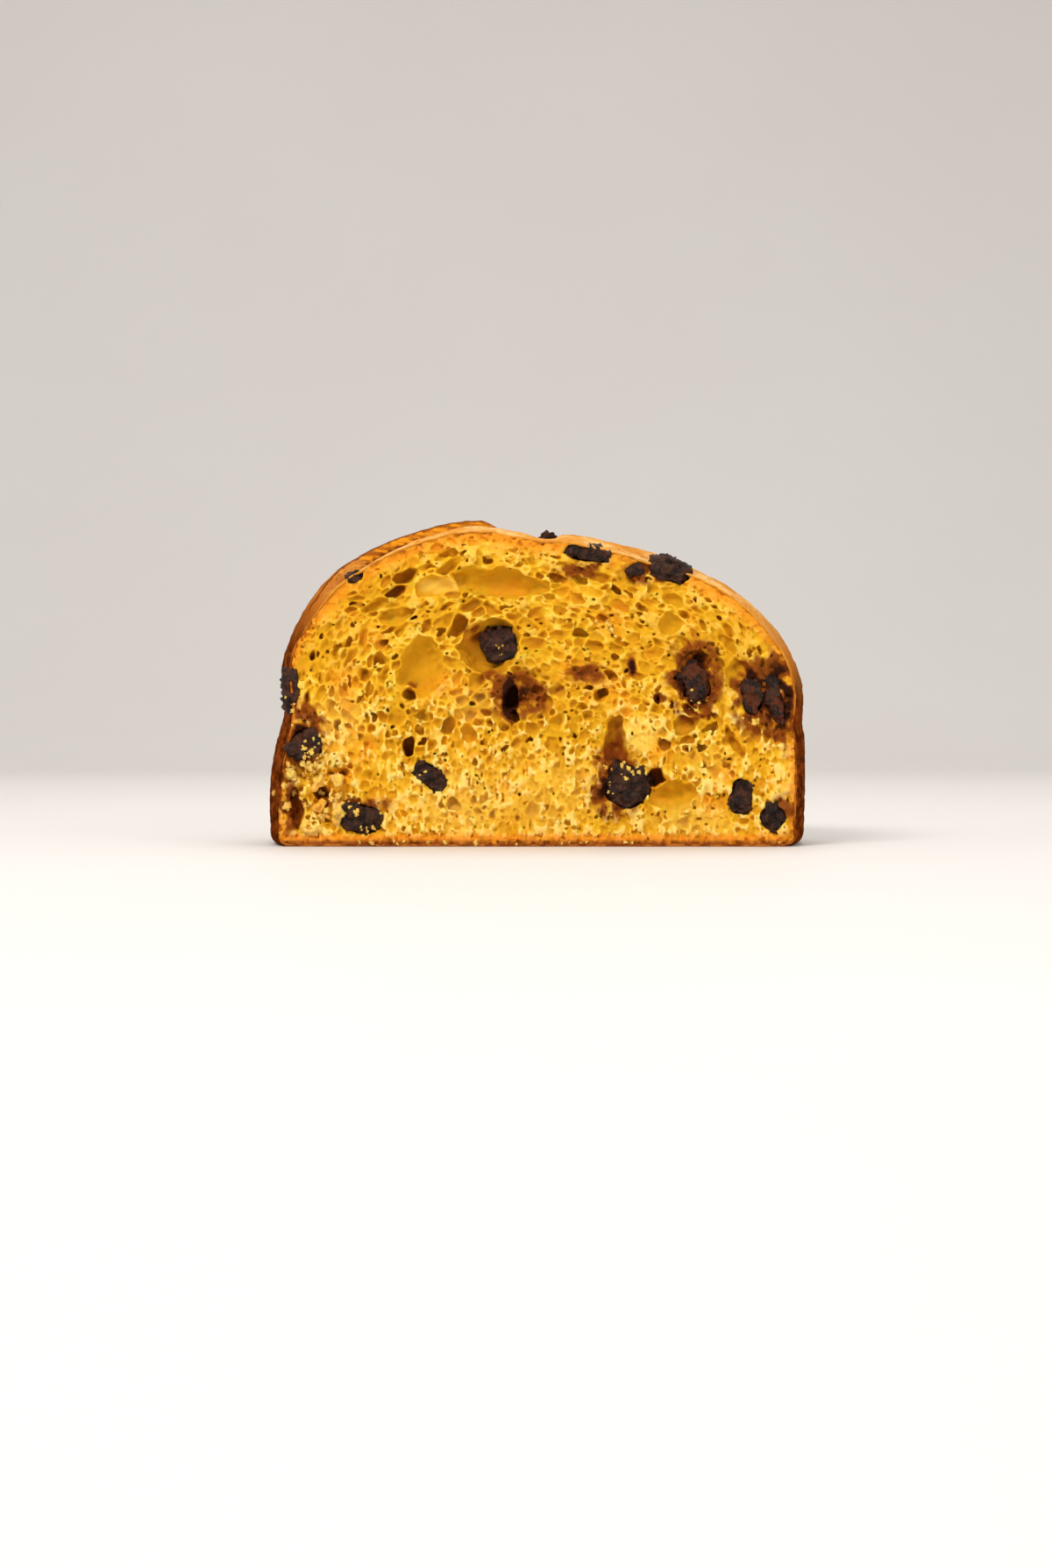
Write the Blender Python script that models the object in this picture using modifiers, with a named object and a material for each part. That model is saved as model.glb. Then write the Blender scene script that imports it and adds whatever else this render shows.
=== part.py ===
"""A chocolate panettone cut just in front of its middle: a domed loaf standing on its flat base.

The loaf's round axis is vertical. The cut face looks along -Y. Metres, +Z up, base on z = 0.
Each chocolate piece is a solid of its own, seated in a pocket of the loaf.
"""

import math

import bmesh
import bpy
from mathutils import Matrix, Vector, noise

# Driving dimensions of the whole loaf, before it was cut
LOAF_RADIUS = 0.1084
WALL_HEIGHT = 0.058
DOME_RISE = 0.0665
BASE_CORNER = 0.0045
CUT_SETBACK = 0.034  # from the loaf's axis forward to the cut

# Fineness of the turned loaf
AROUND_STEPS = 120
DOME_POINTS = 50
WALL_POINTS = 14
CORNER_POINTS = 4
BASE_POINTS = 4
EVEN_MESH = 0.0016
BASE_FLAT_WITHIN = 0.0003

# The loaf's uneven outside
LUMP_HEIGHT = 0.0015
LUMP_PITCH = 0.050
DIMPLE_HEIGHT = 0.0006
DIMPLE_PITCH = 0.016
LEFT_NOTCH_DEPTH = 0.0055
LEFT_NOTCH_HEIGHT = 0.055
LEFT_NOTCH_REACH = 0.017
RIM_NOTCH_DEPTH = 0.0010
RIM_NOTCH_HEIGHT = 0.049
RIM_NOTCH_REACH = 0.005

# A shallow dent in the right shoulder: place seen from above, reach and depth
DENT_CENTRE = (0.043, -0.020)
DENT_REACH = 0.021
DENT_DEPTH = 0.0024

# The cross scored in the top before baking: an opening with raised flaps round it.
# The flap behind the left arm stands tallest and slopes away slowly.
SCORE_CENTRE = (-0.001, -0.006)
SCORE_TURN = math.radians(17)
SCORE_LENGTH = 0.080
FRONT_ARM_LENGTH = 0.026  # the arm towards the cut ends before it
SCORE_HALF_WIDTH = 0.0085
SCORE_TAPER = 0.6  # below 1, an arm stays wide for longer before its point
SCORE_FADE = 0.55  # the share of an arm, from its point, over which it deepens
SCORE_DEPTH = 0.0015
TALL_FLAP_HEIGHT = 0.0082
TALL_FLAP_REACH = 0.060
TALL_FLAP_RIM_FADE = 0.30
TALL_FLAP_END = (0.004, 0.020)
LOW_LIP_HEIGHT = 0.0014
LOW_LIP_REACH = 0.024

# The loaf's swelling in front of the tall flap: its height, and where it starts and is full along the arm
FRONT_SWELL_HEIGHT = 0.0045
FRONT_SWELL_START = (0.004, 0.030)
LIP_STEP = 0.0036

# The knife's path: a sheet with a slight wave, and a torn corner low on the left
FACE_WAVE_HEIGHT = 0.0006
FACE_WAVE_PITCH = 0.030
TORN_CENTRE = (-0.092, 0.021)
TORN_REACH = 0.019
TORN_DEPTH = 0.0030
TORN_CRAG_HEIGHT = 0.0045
TORN_CRAG_PITCH = 0.0085
KNIFE_WIDTH = 0.26
KNIFE_HEIGHT = 0.20
KNIFE_DEPTH = 0.14
KNIFE_BELOW_BASE = 0.02
KNIFE_COLUMNS = 100
KNIFE_ROWS = 76

# Triangles that the loaf keeps before its chocolate pockets are cut
LOAF_TRIANGLES = 6200

# How much larger all round a pocket is than its chocolate piece
POCKET_GAP = 0.0006

# Large bubbles that show in the cut face, by name:
# across and up of the centre, half width, half height, depth, tilt in degrees
BUBBLES = {
    "crescent": (-0.0165, 0.1045, 0.0205, 0.0056, 0.0080, -4),
    "crescent_shoulder": (-0.0390, 0.1035, 0.0095, 0.0042, 0.0035, 12),
    "under_crust": (-0.0523, 0.1070, 0.0054, 0.0027, 0.0110, 15),
    "oval_high": (-0.0640, 0.0955, 0.0066, 0.0021, 0.0045, 27),
    "oval_low": (-0.0554, 0.0922, 0.0072, 0.0032, 0.0050, 12),
    "tall": (-0.0460, 0.0712, 0.0085, 0.0130, 0.0085, -14),
    "tall_foot": (-0.0503, 0.0606, 0.0036, 0.0032, 0.0110, 0),
    "arch": (-0.0185, 0.0795, 0.0128, 0.0103, 0.0100, 20),
    "black_hole": (-0.0106, 0.0587, 0.0033, 0.0062, 0.0150, -4),
    "round_high": (0.0255, 0.0910, 0.0029, 0.0029, 0.0060, 0),
    "round_low": (0.0255, 0.0608, 0.0030, 0.0030, 0.0070, 0),
    "shallow_right": (0.0526, 0.0889, 0.0050, 0.0042, 0.0040, 0),
    "slot": (0.0783, 0.0417, 0.0018, 0.0080, 0.0050, 32),
    "slit": (-0.0505, 0.0392, 0.0024, 0.0045, 0.0090, 0),
    "wedge": (0.0314, 0.0400, 0.0046, 0.0125, 0.0055, 3),
    "side_hole": (0.0470, 0.0270, 0.0042, 0.0040, 0.0110, 0),
    "low_bowl": (0.0540, 0.0205, 0.0100, 0.0058, 0.0060, 8),
    "torn_crack": (-0.0962, 0.0140, 0.0026, 0.0095, 0.0085, 5),
    "torn_pit": (-0.0850, 0.0205, 0.0036, 0.0032, 0.0090, 0),
    "torn_shelf": (-0.0790, 0.0290, 0.0062, 0.0022, 0.0060, 8),
}

# Chocolate in the cut face, by name:
# across and up of the centre, how far its front stands out of the cut, width, depth, height, tilt in degrees
FACE_CHOCOLATE = {
    "chocolate_crown": (0.0201, 0.1162, 0.0008, 0.0205, 0.0110, 0.0072, -9),
    "chocolate_shoulder": (0.0528, 0.1098, 0.0016, 0.0182, 0.0120, 0.0100, -24),
    "chocolate_shoulder_chip": (0.0386, 0.1096, 0.0010, 0.0068, 0.0070, 0.0056, 30),
    "chocolate_left_top": (-0.0718, 0.1068, 0.0006, 0.0082, 0.0070, 0.0044, 32),
    "chocolate_left_wall": (-0.0975, 0.0625, 0.0008, 0.0070, 0.0100, 0.0180, 0),
    "chocolate_left_low": (-0.0925, 0.0410, 0.0006, 0.0140, 0.0090, 0.0120, 35),
    "chocolate_arch": (-0.0150, 0.0808, -0.0020, 0.0150, 0.0110, 0.0145, 10),
    "chocolate_mid_low": (-0.0422, 0.0278, 0.0004, 0.0165, 0.0090, 0.0095, -38),
    "chocolate_base_left": (-0.0700, 0.0110, 0.0006, 0.0175, 0.0100, 0.0125, -8),
    "chocolate_core": (0.0360, 0.0236, 0.0010, 0.0190, 0.0130, 0.0185, -20),
    "chocolate_right_high": (0.0632, 0.0655, 0.0004, 0.0105, 0.0090, 0.0165, 28),
    "chocolate_right_inner": (0.0852, 0.0594, 0.0004, 0.0090, 0.0090, 0.0165, 5),
    "chocolate_right_outer": (0.0945, 0.0580, 0.0004, 0.0065, 0.0090, 0.0210, 14),
    "chocolate_right_low": (0.0811, 0.0195, 0.0003, 0.0100, 0.0090, 0.0160, -4),
    "chocolate_right_corner": (0.0935, 0.0115, 0.0004, 0.0120, 0.0090, 0.0120, -40),
}

# Chocolate that breaks through the crust, by name:
# compass angle round the axis in degrees, height up the loaf, width, thickness, height, roll in degrees
CRUST_CHOCOLATE = {
    "chocolate_back_high": (70, 0.1170, 0.0170, 0.0075, 0.0120, 20),
    "chocolate_back_mid": (118, 0.0960, 0.0150, 0.0075, 0.0110, -15),
    "chocolate_back_wall": (83, 0.0560, 0.0120, 0.0070, 0.0150, 8),
    "chocolate_right_back": (28, 0.0900, 0.0160, 0.0075, 0.0115, 35),
    "chocolate_right_wall": (12, 0.0380, 0.0110, 0.0070, 0.0140, -10),
    "chocolate_left_back": (158, 0.0830, 0.0140, 0.0070, 0.0120, 12),
    "chocolate_left_side": (164, 0.0300, 0.0110, 0.0070, 0.0130, 25),
}

# The flake that stands on the crown: place, size and turn
FLAKE_PLACE = (0.0043, -0.0135)
FLAKE_SIZE = (0.0085, 0.0034, 0.0052)
FLAKE_SINK = 0.0012

# How blocky and craggy a chocolate piece is, for a ball of radius 1, and how flat the knife left its front
CHOCOLATE_SQUARENESS = 0.36
CHOCOLATE_CRAG = 0.13
CHOCOLATE_CRAG_PITCH = 0.45
CUT_BLUNTNESS = 0.45
SEED_STEP = Vector((3.7, 1.3, -2.1))

# A piece over this size is drawn finer, then keeps this share of its triangles
LARGE_PIECE = 0.0145
LARGE_PIECE_SHARE = 0.5

# The share of its thickness by which chocolate in the crust sits in from the surface
CRUST_SINK = 0.18

# Colours as linear red, green, blue, with roughness
CRUST_COLOUR = (0.42, 0.15, 0.035)
CHOCOLATE_COLOUR = (0.022, 0.011, 0.009)
CRUST_ROUGHNESS = 0.65
CHOCOLATE_ROUGHNESS = 0.45

# Edges sharper than this show as edges on the smooth loaf
SHARP_EDGE = math.radians(40)


def smooth(low, high, value):
    """0 below low, 1 above high, and an even curve between."""
    share = min(1.0, max(0.0, (value - low) / (high - low)))
    return share * share * (3 - 2 * share)


def clear_scene():
    for old in list(bpy.data.objects):
        bpy.data.objects.remove(old, do_unlink=True)


def new_collection(name):
    collection = bpy.data.collections.new(name)
    bpy.context.scene.collection.children.link(collection)
    return collection


def new_material(name, colour, roughness):
    material = bpy.data.materials.new(name)
    material.use_nodes = True
    shader = material.node_tree.nodes["Principled BSDF"]
    shader.inputs["Base Color"].default_value = (*colour, 1)
    shader.inputs["Roughness"].default_value = roughness
    shader.inputs["Metallic"].default_value = 0
    return material


def new_object(name, mesh, collection):
    made = bpy.data.objects.new(name, mesh)
    collection.objects.link(made)
    return made


def as_cutter(obj):
    obj.hide_render = True
    obj.display_type = "WIRE"


def apply_modifiers(obj):
    """Bakes an object's modifiers into its mesh."""
    bpy.context.view_layer.update()
    evaluated = obj.evaluated_get(bpy.context.evaluated_depsgraph_get())
    mesh = bpy.data.meshes.new_from_object(evaluated)
    obj.modifiers.clear()
    obj.data = mesh


def loaf_profile():
    """The turned outline at +X, from the crown down the outside to the middle of the base."""
    points = []
    for i in range(DOME_POINTS + 1):
        angle = math.pi / 2 * (1 - i / DOME_POINTS)
        points.append((LOAF_RADIUS * math.cos(angle), WALL_HEIGHT + DOME_RISE * math.sin(angle)))
    wall = WALL_HEIGHT - BASE_CORNER
    for i in range(1, WALL_POINTS + 1):
        points.append((LOAF_RADIUS, WALL_HEIGHT - wall * i / WALL_POINTS))
    for i in range(1, CORNER_POINTS + 1):
        angle = math.pi / 2 * i / CORNER_POINTS
        across = LOAF_RADIUS - BASE_CORNER * (1 - math.cos(angle))
        points.append((across, BASE_CORNER * (1 - math.sin(angle))))
    flat = LOAF_RADIUS - BASE_CORNER
    for i in range(1, BASE_POINTS + 1):
        points.append((flat * (1 - i / BASE_POINTS), 0))
    points[0] = (0, points[0][1])
    return points


def score_relief(x, y):
    """Height of the scored cross over the plain dome, at a place seen from above."""
    across, ahead = x - SCORE_CENTRE[0], y - SCORE_CENTRE[1]
    u = across * math.cos(SCORE_TURN) + ahead * math.sin(SCORE_TURN)
    v = ahead * math.cos(SCORE_TURN) - across * math.sin(SCORE_TURN)
    along, aside = max(abs(u), abs(v)), min(abs(u), abs(v))
    arm_length = FRONT_ARM_LENGTH if v < -abs(u) else SCORE_LENGTH
    left = max(0.0, 1 - along / arm_length)
    outside = aside - SCORE_HALF_WIDTH * left**SCORE_TAPER
    flap = smooth(-LIP_STEP / 2, LIP_STEP / 2, outside)
    open_share = smooth(0, SCORE_FADE, left)
    rim_fade = smooth(0, TALL_FLAP_RIM_FADE, 1 - math.hypot(x, y) / LOAF_RADIUS)
    if u < 0 < v:
        lip = TALL_FLAP_HEIGHT * math.exp(-max(outside, 0) / TALL_FLAP_REACH)
        lip *= rim_fade * smooth(*TALL_FLAP_END, -u)
    else:
        lip = LOW_LIP_HEIGHT * math.exp(-max(outside, 0) / LOW_LIP_REACH) * open_share
        lip += FRONT_SWELL_HEIGHT * rim_fade * smooth(*FRONT_SWELL_START, -u)
    return flap * lip - (1 - flap) * SCORE_DEPTH * open_share


def crust_relief(point):
    """How far the crust stands out of the turned form at a point of it."""
    x, y, z = point
    uneven = LUMP_HEIGHT * noise.noise(point / LUMP_PITCH)
    uneven += DIMPLE_HEIGHT * noise.noise(point / DIMPLE_PITCH)
    leftness = max(0.0, -x / LOAF_RADIUS) ** 2
    left_rise = (z - LEFT_NOTCH_HEIGHT) / LEFT_NOTCH_REACH
    rim_rise = (z - RIM_NOTCH_HEIGHT) / RIM_NOTCH_REACH
    notch = LEFT_NOTCH_DEPTH * leftness * math.exp(-left_rise * left_rise)
    notch += RIM_NOTCH_DEPTH * (1 - leftness) * math.exp(-rim_rise * rim_rise)
    from_dent = math.hypot(x - DENT_CENTRE[0], y - DENT_CENTRE[1]) / DENT_REACH
    dent = DENT_DEPTH * math.exp(-from_dent * from_dent)
    on_dome = smooth(WALL_HEIGHT, WALL_HEIGHT + DOME_RISE / 2, z)
    return uneven - notch + on_dome * (score_relief(x, y) - dent)


def outward(point):
    """The direction out of the turned form at a point of its dome or wall."""
    if point.z > WALL_HEIGHT:
        steepness = (point.z - WALL_HEIGHT) / DOME_RISE**2
        return Vector((point.x / LOAF_RADIUS**2, point.y / LOAF_RADIUS**2, steepness)).normalized()
    return Vector((point.x, point.y, 0)).normalized()


def turned_loaf(collection):
    """The whole round loaf: a turned profile, an even mesh of it, then its crust's relief."""
    profile = loaf_profile()
    mesh = bpy.data.meshes.new("loaf_profile")
    edges = [(i, i + 1) for i in range(len(profile) - 1)]
    mesh.from_pydata([(r, 0, z) for r, z in profile], edges, [])
    loaf = new_object("loaf", mesh, collection)
    screw = loaf.modifiers.new("turn", "SCREW")
    screw.axis = "Z"
    screw.steps = screw.render_steps = AROUND_STEPS
    screw.use_merge_vertices = True
    screw.merge_threshold = 0.0001
    even = loaf.modifiers.new("even", "REMESH")
    even.mode = "VOXEL"
    even.voxel_size = EVEN_MESH
    apply_modifiers(loaf)
    for vertex in loaf.data.vertices:
        if vertex.co.z < BASE_FLAT_WITHIN:
            vertex.co.z = 0
        else:
            share = smooth(0, BASE_CORNER * 2, vertex.co.z)
            vertex.co += outward(vertex.co) * crust_relief(vertex.co) * share
    return loaf


def knife_path(x, z):
    """How far behind the plain cut the knife's path lies at a place in the face."""
    wave = FACE_WAVE_HEIGHT * noise.noise(Vector((x, 0, z)) / FACE_WAVE_PITCH)
    crag = TORN_CRAG_HEIGHT * noise.noise(Vector((x, 0, z)) / TORN_CRAG_PITCH)
    from_torn = math.hypot(x - TORN_CENTRE[0], z - TORN_CENTRE[1]) / TORN_REACH
    return wave + (TORN_DEPTH + crag) * math.exp(-from_torn * from_torn)


def knife_block(collection):
    """What is taken off the front: a block whose back is the knife's path."""
    shape = bmesh.new()
    bmesh.ops.create_grid(shape, x_segments=KNIFE_COLUMNS, y_segments=KNIFE_ROWS, size=0.5)
    for vertex in shape.verts:
        x = vertex.co.x * KNIFE_WIDTH
        z = (vertex.co.y + 0.5) * KNIFE_HEIGHT - KNIFE_BELOW_BASE
        vertex.co = (x, -CUT_SETBACK + knife_path(x, z), z)
    grown = bmesh.ops.extrude_face_region(shape, geom=shape.faces[:])
    for item in grown["geom"]:
        if isinstance(item, bmesh.types.BMVert):
            item.co.y = -CUT_SETBACK - KNIFE_DEPTH
    bmesh.ops.recalc_face_normals(shape, faces=shape.faces[:])
    mesh = bpy.data.meshes.new("knife_block")
    shape.to_mesh(mesh)
    shape.free()
    block = new_object("knife_block", mesh, collection)
    as_cutter(block)
    return block


def bubble_cutter(name, collection):
    """An ellipsoid centred on the cut face."""
    across, up, half_width, half_height, depth, tilt = BUBBLES[name]
    shape = bmesh.new()
    bmesh.ops.create_icosphere(shape, subdivisions=3, radius=1)
    size = Matrix.Diagonal((half_width, depth, half_height, 1))
    turn = Matrix.Rotation(math.radians(-tilt), 4, "Y")
    place = Matrix.Translation((across, -CUT_SETBACK, up))
    shape.transform(place @ turn @ size)
    mesh = bpy.data.meshes.new("bubble_" + name)
    shape.to_mesh(mesh)
    shape.free()
    cutter = new_object("bubble_" + name, mesh, collection)
    as_cutter(cutter)


def combine(obj, operation, others):
    """Joins other objects to obj, or takes them out of it, one after another."""
    for other in others:
        step = obj.modifiers.new("step", "BOOLEAN")
        step.operation = operation
        step.solver = "EXACT"
        step.object = other
        apply_modifiers(obj)


def keep_largest_body(obj):
    """Drops loose scraps that the cuts leave."""
    shape = bmesh.new()
    shape.from_mesh(obj.data)
    seen = set()
    bodies = []
    for start in shape.verts:
        if start in seen:
            continue
        body, front = {start}, [start]
        while front:
            reached = front.pop()
            for edge in reached.link_edges:
                other = edge.other_vert(reached)
                if other not in body:
                    body.add(other)
                    front.append(other)
        seen |= body
        bodies.append(body)
    bodies.sort(key=len)
    scraps = [vertex for body in bodies[:-1] for vertex in body]
    bmesh.ops.delete(shape, geom=scraps, context="VERTS")
    shape.to_mesh(obj.data)
    shape.free()


def thin_to(obj, triangles):
    """Spends a count of triangles where the shape needs them."""
    shape = bmesh.new()
    shape.from_mesh(obj.data)
    bmesh.ops.triangulate(shape, faces=shape.faces[:])
    shape.to_mesh(obj.data)
    shape.free()
    thin = obj.modifiers.new("thin", "DECIMATE")
    thin.ratio = min(1.0, triangles / len(obj.data.polygons))
    thin.use_collapse_triangulate = True
    apply_modifiers(obj)


def craggy_lump(name, size, seed, collection):
    """A rounded block of chocolate with uneven faces, centred on its own origin."""
    shape = bmesh.new()
    large = max(size) > LARGE_PIECE
    bmesh.ops.create_icosphere(shape, subdivisions=3 if large else 2, radius=1)
    for vertex in shape.verts:
        direction = vertex.co.normalized()
        crag = CHOCOLATE_CRAG * noise.noise(direction / CHOCOLATE_CRAG_PITCH + SEED_STEP * seed)
        blocky = max(abs(c) for c in direction) ** -CHOCOLATE_SQUARENESS
        reach = (1 + crag) * blocky
        vertex.co = Vector([c * reach * side / 2 for c, side in zip(direction, size)])
    mesh = bpy.data.meshes.new(name)
    shape.to_mesh(mesh)
    shape.free()
    lump = new_object(name, mesh, collection)
    if large:
        thin_to(lump, int(len(mesh.polygons) * LARGE_PIECE_SHARE))
    lump.data.name = name
    return lump


def pocket_cutter(piece, collection):
    """A copy of a chocolate piece, larger all round by the pocket's gap."""
    cutter = new_object("pocket_" + piece.name, piece.data.copy(), collection)
    for vertex in cutter.data.vertices:
        vertex.co += vertex.normal * POCKET_GAP
    cutter.matrix_world = piece.matrix_world
    as_cutter(cutter)


def dome_point(compass, height):
    """A point of the turned outside, and the direction out of it."""
    if height > WALL_HEIGHT:
        sine = (height - WALL_HEIGHT) / DOME_RISE
        radius = LOAF_RADIUS * math.sqrt(1 - sine * sine)
        steepness = (height - WALL_HEIGHT) / DOME_RISE**2
    else:
        radius = LOAF_RADIUS
        steepness = 0.0
    around = Vector((math.cos(compass), math.sin(compass), 0))
    out = around * radius / LOAF_RADIUS**2 + Vector((0, 0, steepness))
    return around * radius + Vector((0, 0, height)), out.normalized()


def face_chocolate(name, seed, collection):
    across, up, proud, width, depth, height, tilt = FACE_CHOCOLATE[name]
    piece = craggy_lump(name, (width, depth, height), seed, collection)
    for vertex in piece.data.vertices:
        if vertex.co.y < 0:
            vertex.co.y = -depth / 2 * (-vertex.co.y * 2 / depth) ** CUT_BLUNTNESS
    piece.location = (across, -CUT_SETBACK - proud + depth / 2, up)
    piece.rotation_euler = (0, math.radians(-tilt), 0)
    return piece


def crust_chocolate(name, seed, collection):
    compass, up, width, thickness, height, roll = CRUST_CHOCOLATE[name]
    point, out = dome_point(math.radians(compass), up)
    piece = craggy_lump(name, (width, height, thickness), seed, collection)
    facing = out.to_track_quat("Z", "Y").to_matrix().to_4x4()
    spin = Matrix.Rotation(math.radians(roll), 4, "Z")
    sunk = point - out * thickness * CRUST_SINK
    piece.matrix_world = Matrix.Translation(sunk) @ facing @ spin
    return piece


def crown_flake(seed, collection):
    """A flake that stands on the crown, a little sunk in it."""
    x, y = FLAKE_PLACE
    from_axis = math.hypot(x, y) / LOAF_RADIUS
    top = WALL_HEIGHT + DOME_RISE * math.sqrt(1 - from_axis * from_axis)
    top += crust_relief(Vector((x, y, top)))
    piece = craggy_lump("chocolate_flake", FLAKE_SIZE, seed, collection)
    piece.location = (x, y, top + FLAKE_SIZE[2] / 2 - FLAKE_SINK)
    piece.rotation_euler = (0, math.radians(7), math.radians(12))
    return piece


def stand_on_origin(objects):
    """Moves everything so that the origin is under the middle of the plain cut form."""
    root = bpy.data.objects.new("panettone_root", None)
    bpy.context.scene.collection.objects.link(root)
    for obj in objects:
        obj.parent = root
    root.location.y = (CUT_SETBACK - LOAF_RADIUS) / 2


def main():
    clear_scene()
    parts = new_collection("panettone")
    knives = new_collection("knives")
    bubbles = new_collection("bubbles")
    pockets = new_collection("pockets")
    crust = new_material("baked_crust", CRUST_COLOUR, CRUST_ROUGHNESS)
    dark = new_material("dark_chocolate", CHOCOLATE_COLOUR, CHOCOLATE_ROUGHNESS)

    loaf = turned_loaf(parts)
    knife = knife_block(knives)
    for name in BUBBLES:
        bubble_cutter(name, bubbles)
    combine(knife, "UNION", bubbles.objects)
    combine(loaf, "DIFFERENCE", [knife])
    keep_largest_body(loaf)
    thin_to(loaf, LOAF_TRIANGLES)

    pieces = [face_chocolate(name, i + 1, parts) for i, name in enumerate(FACE_CHOCOLATE)]
    pieces += [crust_chocolate(name, i + 31, parts) for i, name in enumerate(CRUST_CHOCOLATE)]
    pieces.append(crown_flake(51, parts))
    bpy.context.view_layer.update()
    for piece in pieces:
        pocket_cutter(piece, pockets)
        piece.data.materials.append(dark)
    combine(loaf, "DIFFERENCE", pockets.objects)
    keep_largest_body(loaf)
    loaf.data.materials.clear()
    loaf.data.materials.append(crust)
    loaf.data.shade_smooth()
    loaf.data.set_sharp_from_angle(angle=SHARP_EDGE)
    stand_on_origin([loaf, *pieces])


main()
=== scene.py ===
"""The looks of a chocolate panettone cut just in front of its middle.

The crumb is a real mesh, taken from a field of bubbles behind the cut. The crust, each chocolate
piece and the loose crumbs are meshes round it. Metres, +Z up, with the cut face towards -Y.
"""

import math

import bmesh
import bpy
import numpy as np
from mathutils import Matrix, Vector, noise
from mathutils.bvhtree import BVHTree


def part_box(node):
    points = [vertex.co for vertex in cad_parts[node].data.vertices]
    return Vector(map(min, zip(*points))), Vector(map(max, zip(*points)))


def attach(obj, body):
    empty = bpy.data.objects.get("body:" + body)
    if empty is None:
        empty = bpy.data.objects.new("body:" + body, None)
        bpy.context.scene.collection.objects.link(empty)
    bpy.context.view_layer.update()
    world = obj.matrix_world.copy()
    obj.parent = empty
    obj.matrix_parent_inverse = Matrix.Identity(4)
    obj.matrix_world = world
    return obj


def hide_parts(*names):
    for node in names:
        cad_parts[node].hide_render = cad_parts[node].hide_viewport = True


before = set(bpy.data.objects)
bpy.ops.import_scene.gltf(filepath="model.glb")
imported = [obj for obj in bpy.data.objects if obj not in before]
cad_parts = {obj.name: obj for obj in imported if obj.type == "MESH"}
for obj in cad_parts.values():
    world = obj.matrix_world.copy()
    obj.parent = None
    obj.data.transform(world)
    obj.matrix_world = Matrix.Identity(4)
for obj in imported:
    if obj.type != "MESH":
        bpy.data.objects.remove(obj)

# The loaf's form, as in the model that it dresses
LOAF_RADIUS = 0.1084
WALL_HEIGHT = 0.058
DOME_RISE = 0.0665
BASE_CORNER = 0.0045
CUT_SETBACK = 0.034
AXIS_Y = (CUT_SETBACK - LOAF_RADIUS) / 2
CUT_Y = AXIS_Y - CUT_SETBACK

# The loaf's uneven outside, as in the model
LUMP_HEIGHT = 0.0015
LUMP_PITCH = 0.050
DIMPLE_HEIGHT = 0.0006
DIMPLE_PITCH = 0.016
LEFT_NOTCH_DEPTH = 0.0055
LEFT_NOTCH_HEIGHT = 0.055
LEFT_NOTCH_REACH = 0.017
RIM_NOTCH_DEPTH = 0.0010
RIM_NOTCH_HEIGHT = 0.049
RIM_NOTCH_REACH = 0.005
DENT_CENTRE = (0.043, -0.020)
DENT_REACH = 0.021
DENT_DEPTH = 0.0024

# The cross scored in the top, as in the model
SCORE_CENTRE = (-0.001, -0.006)
SCORE_TURN = math.radians(17)
SCORE_LENGTH = 0.080
FRONT_ARM_LENGTH = 0.026
SCORE_HALF_WIDTH = 0.0085
SCORE_TAPER = 0.6
SCORE_FADE = 0.55
SCORE_DEPTH = 0.0015
TALL_FLAP_HEIGHT = 0.0082
TALL_FLAP_REACH = 0.060
TALL_FLAP_RIM_FADE = 0.30
TALL_FLAP_END = (0.004, 0.020)
LOW_LIP_HEIGHT = 0.0014
LOW_LIP_REACH = 0.024
FRONT_SWELL_HEIGHT = 0.0045
FRONT_SWELL_START = (0.004, 0.030)
LIP_STEP = 0.0036

# The knife's path and the torn corner, as in the model
FACE_WAVE_HEIGHT = 0.0006
FACE_WAVE_PITCH = 0.030
TORN_CENTRE = (-0.092, 0.021)
TORN_REACH = 0.019
TORN_DEPTH = 0.0030
TORN_CRAG_HEIGHT = 0.0045
TORN_CRAG_PITCH = 0.0085

# The crust's mesh, its thickness, and its finer relief
CRUST_MESH = 0.0013
DOME_STEPS = 60
CORNER_STEPS = 4
TURN_STEPS = 180
FLAT_BELOW = 0.0003
CRUST_THICKNESS = 0.0010
WRINKLE_HEIGHT = 0.00040
WRINKLE_PITCH = 0.0045
WRINKLE_SQUEEZE = 2
PORE_HEIGHT = 0.00018
PORE_PITCH = 0.0016
LIP_SMOOTHINGS = 3

# Where colours follow the cross: the lip's height as it starts to show and is full, where the torn
# face fades out to the left, and the parts of a lip's face as shares of its step
LIP_SHOWS = (0.0015, 0.005)
SPLIT_FADE = (-0.080, -0.055)
SPLIT_FACE = (LIP_STEP * 0.75, LIP_STEP * 0.45)
BROW_ABOVE = (LIP_STEP * 2.6, LIP_STEP * 0.8)
BROW_BELOW = (LIP_STEP * 0.40, LIP_STEP * 0.70)
# The foot of a tall lip is darkened: a painted shade in the groove under the lifted flap
GROOVE_FOOT = (LIP_STEP * 0.20, LIP_STEP * 0.02)

# The crust's rim at the cut: how far it lies behind the knife's path, then rows that turn in, each
# with how far it is in from the one before and how far back
RIM_BEHIND = 0.0002
RIM_ROWS = ((0.00021, -0.0003), (0.00060, -0.0001), (0.00078, 0.0040))
RIM_LOWEST_AIM = 0.02

# Where the crust starts to be darker towards the left, and where it is darkest
LEFT_FADE = (-0.045, -0.100)

# The crumb's grid, and how far behind the cut it reaches
VOXEL = 0.00042
CRUMB_FRONT = 0.0022
CRUMB_DEPTH = 0.0095
CRUMB_CLOSES = 0.0025
CLOSING = 0.004
CRUST_SAMPLES = 0.003
CRUMB_BANDS = 5
CRUMB_TRIANGLES = 680000
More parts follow.
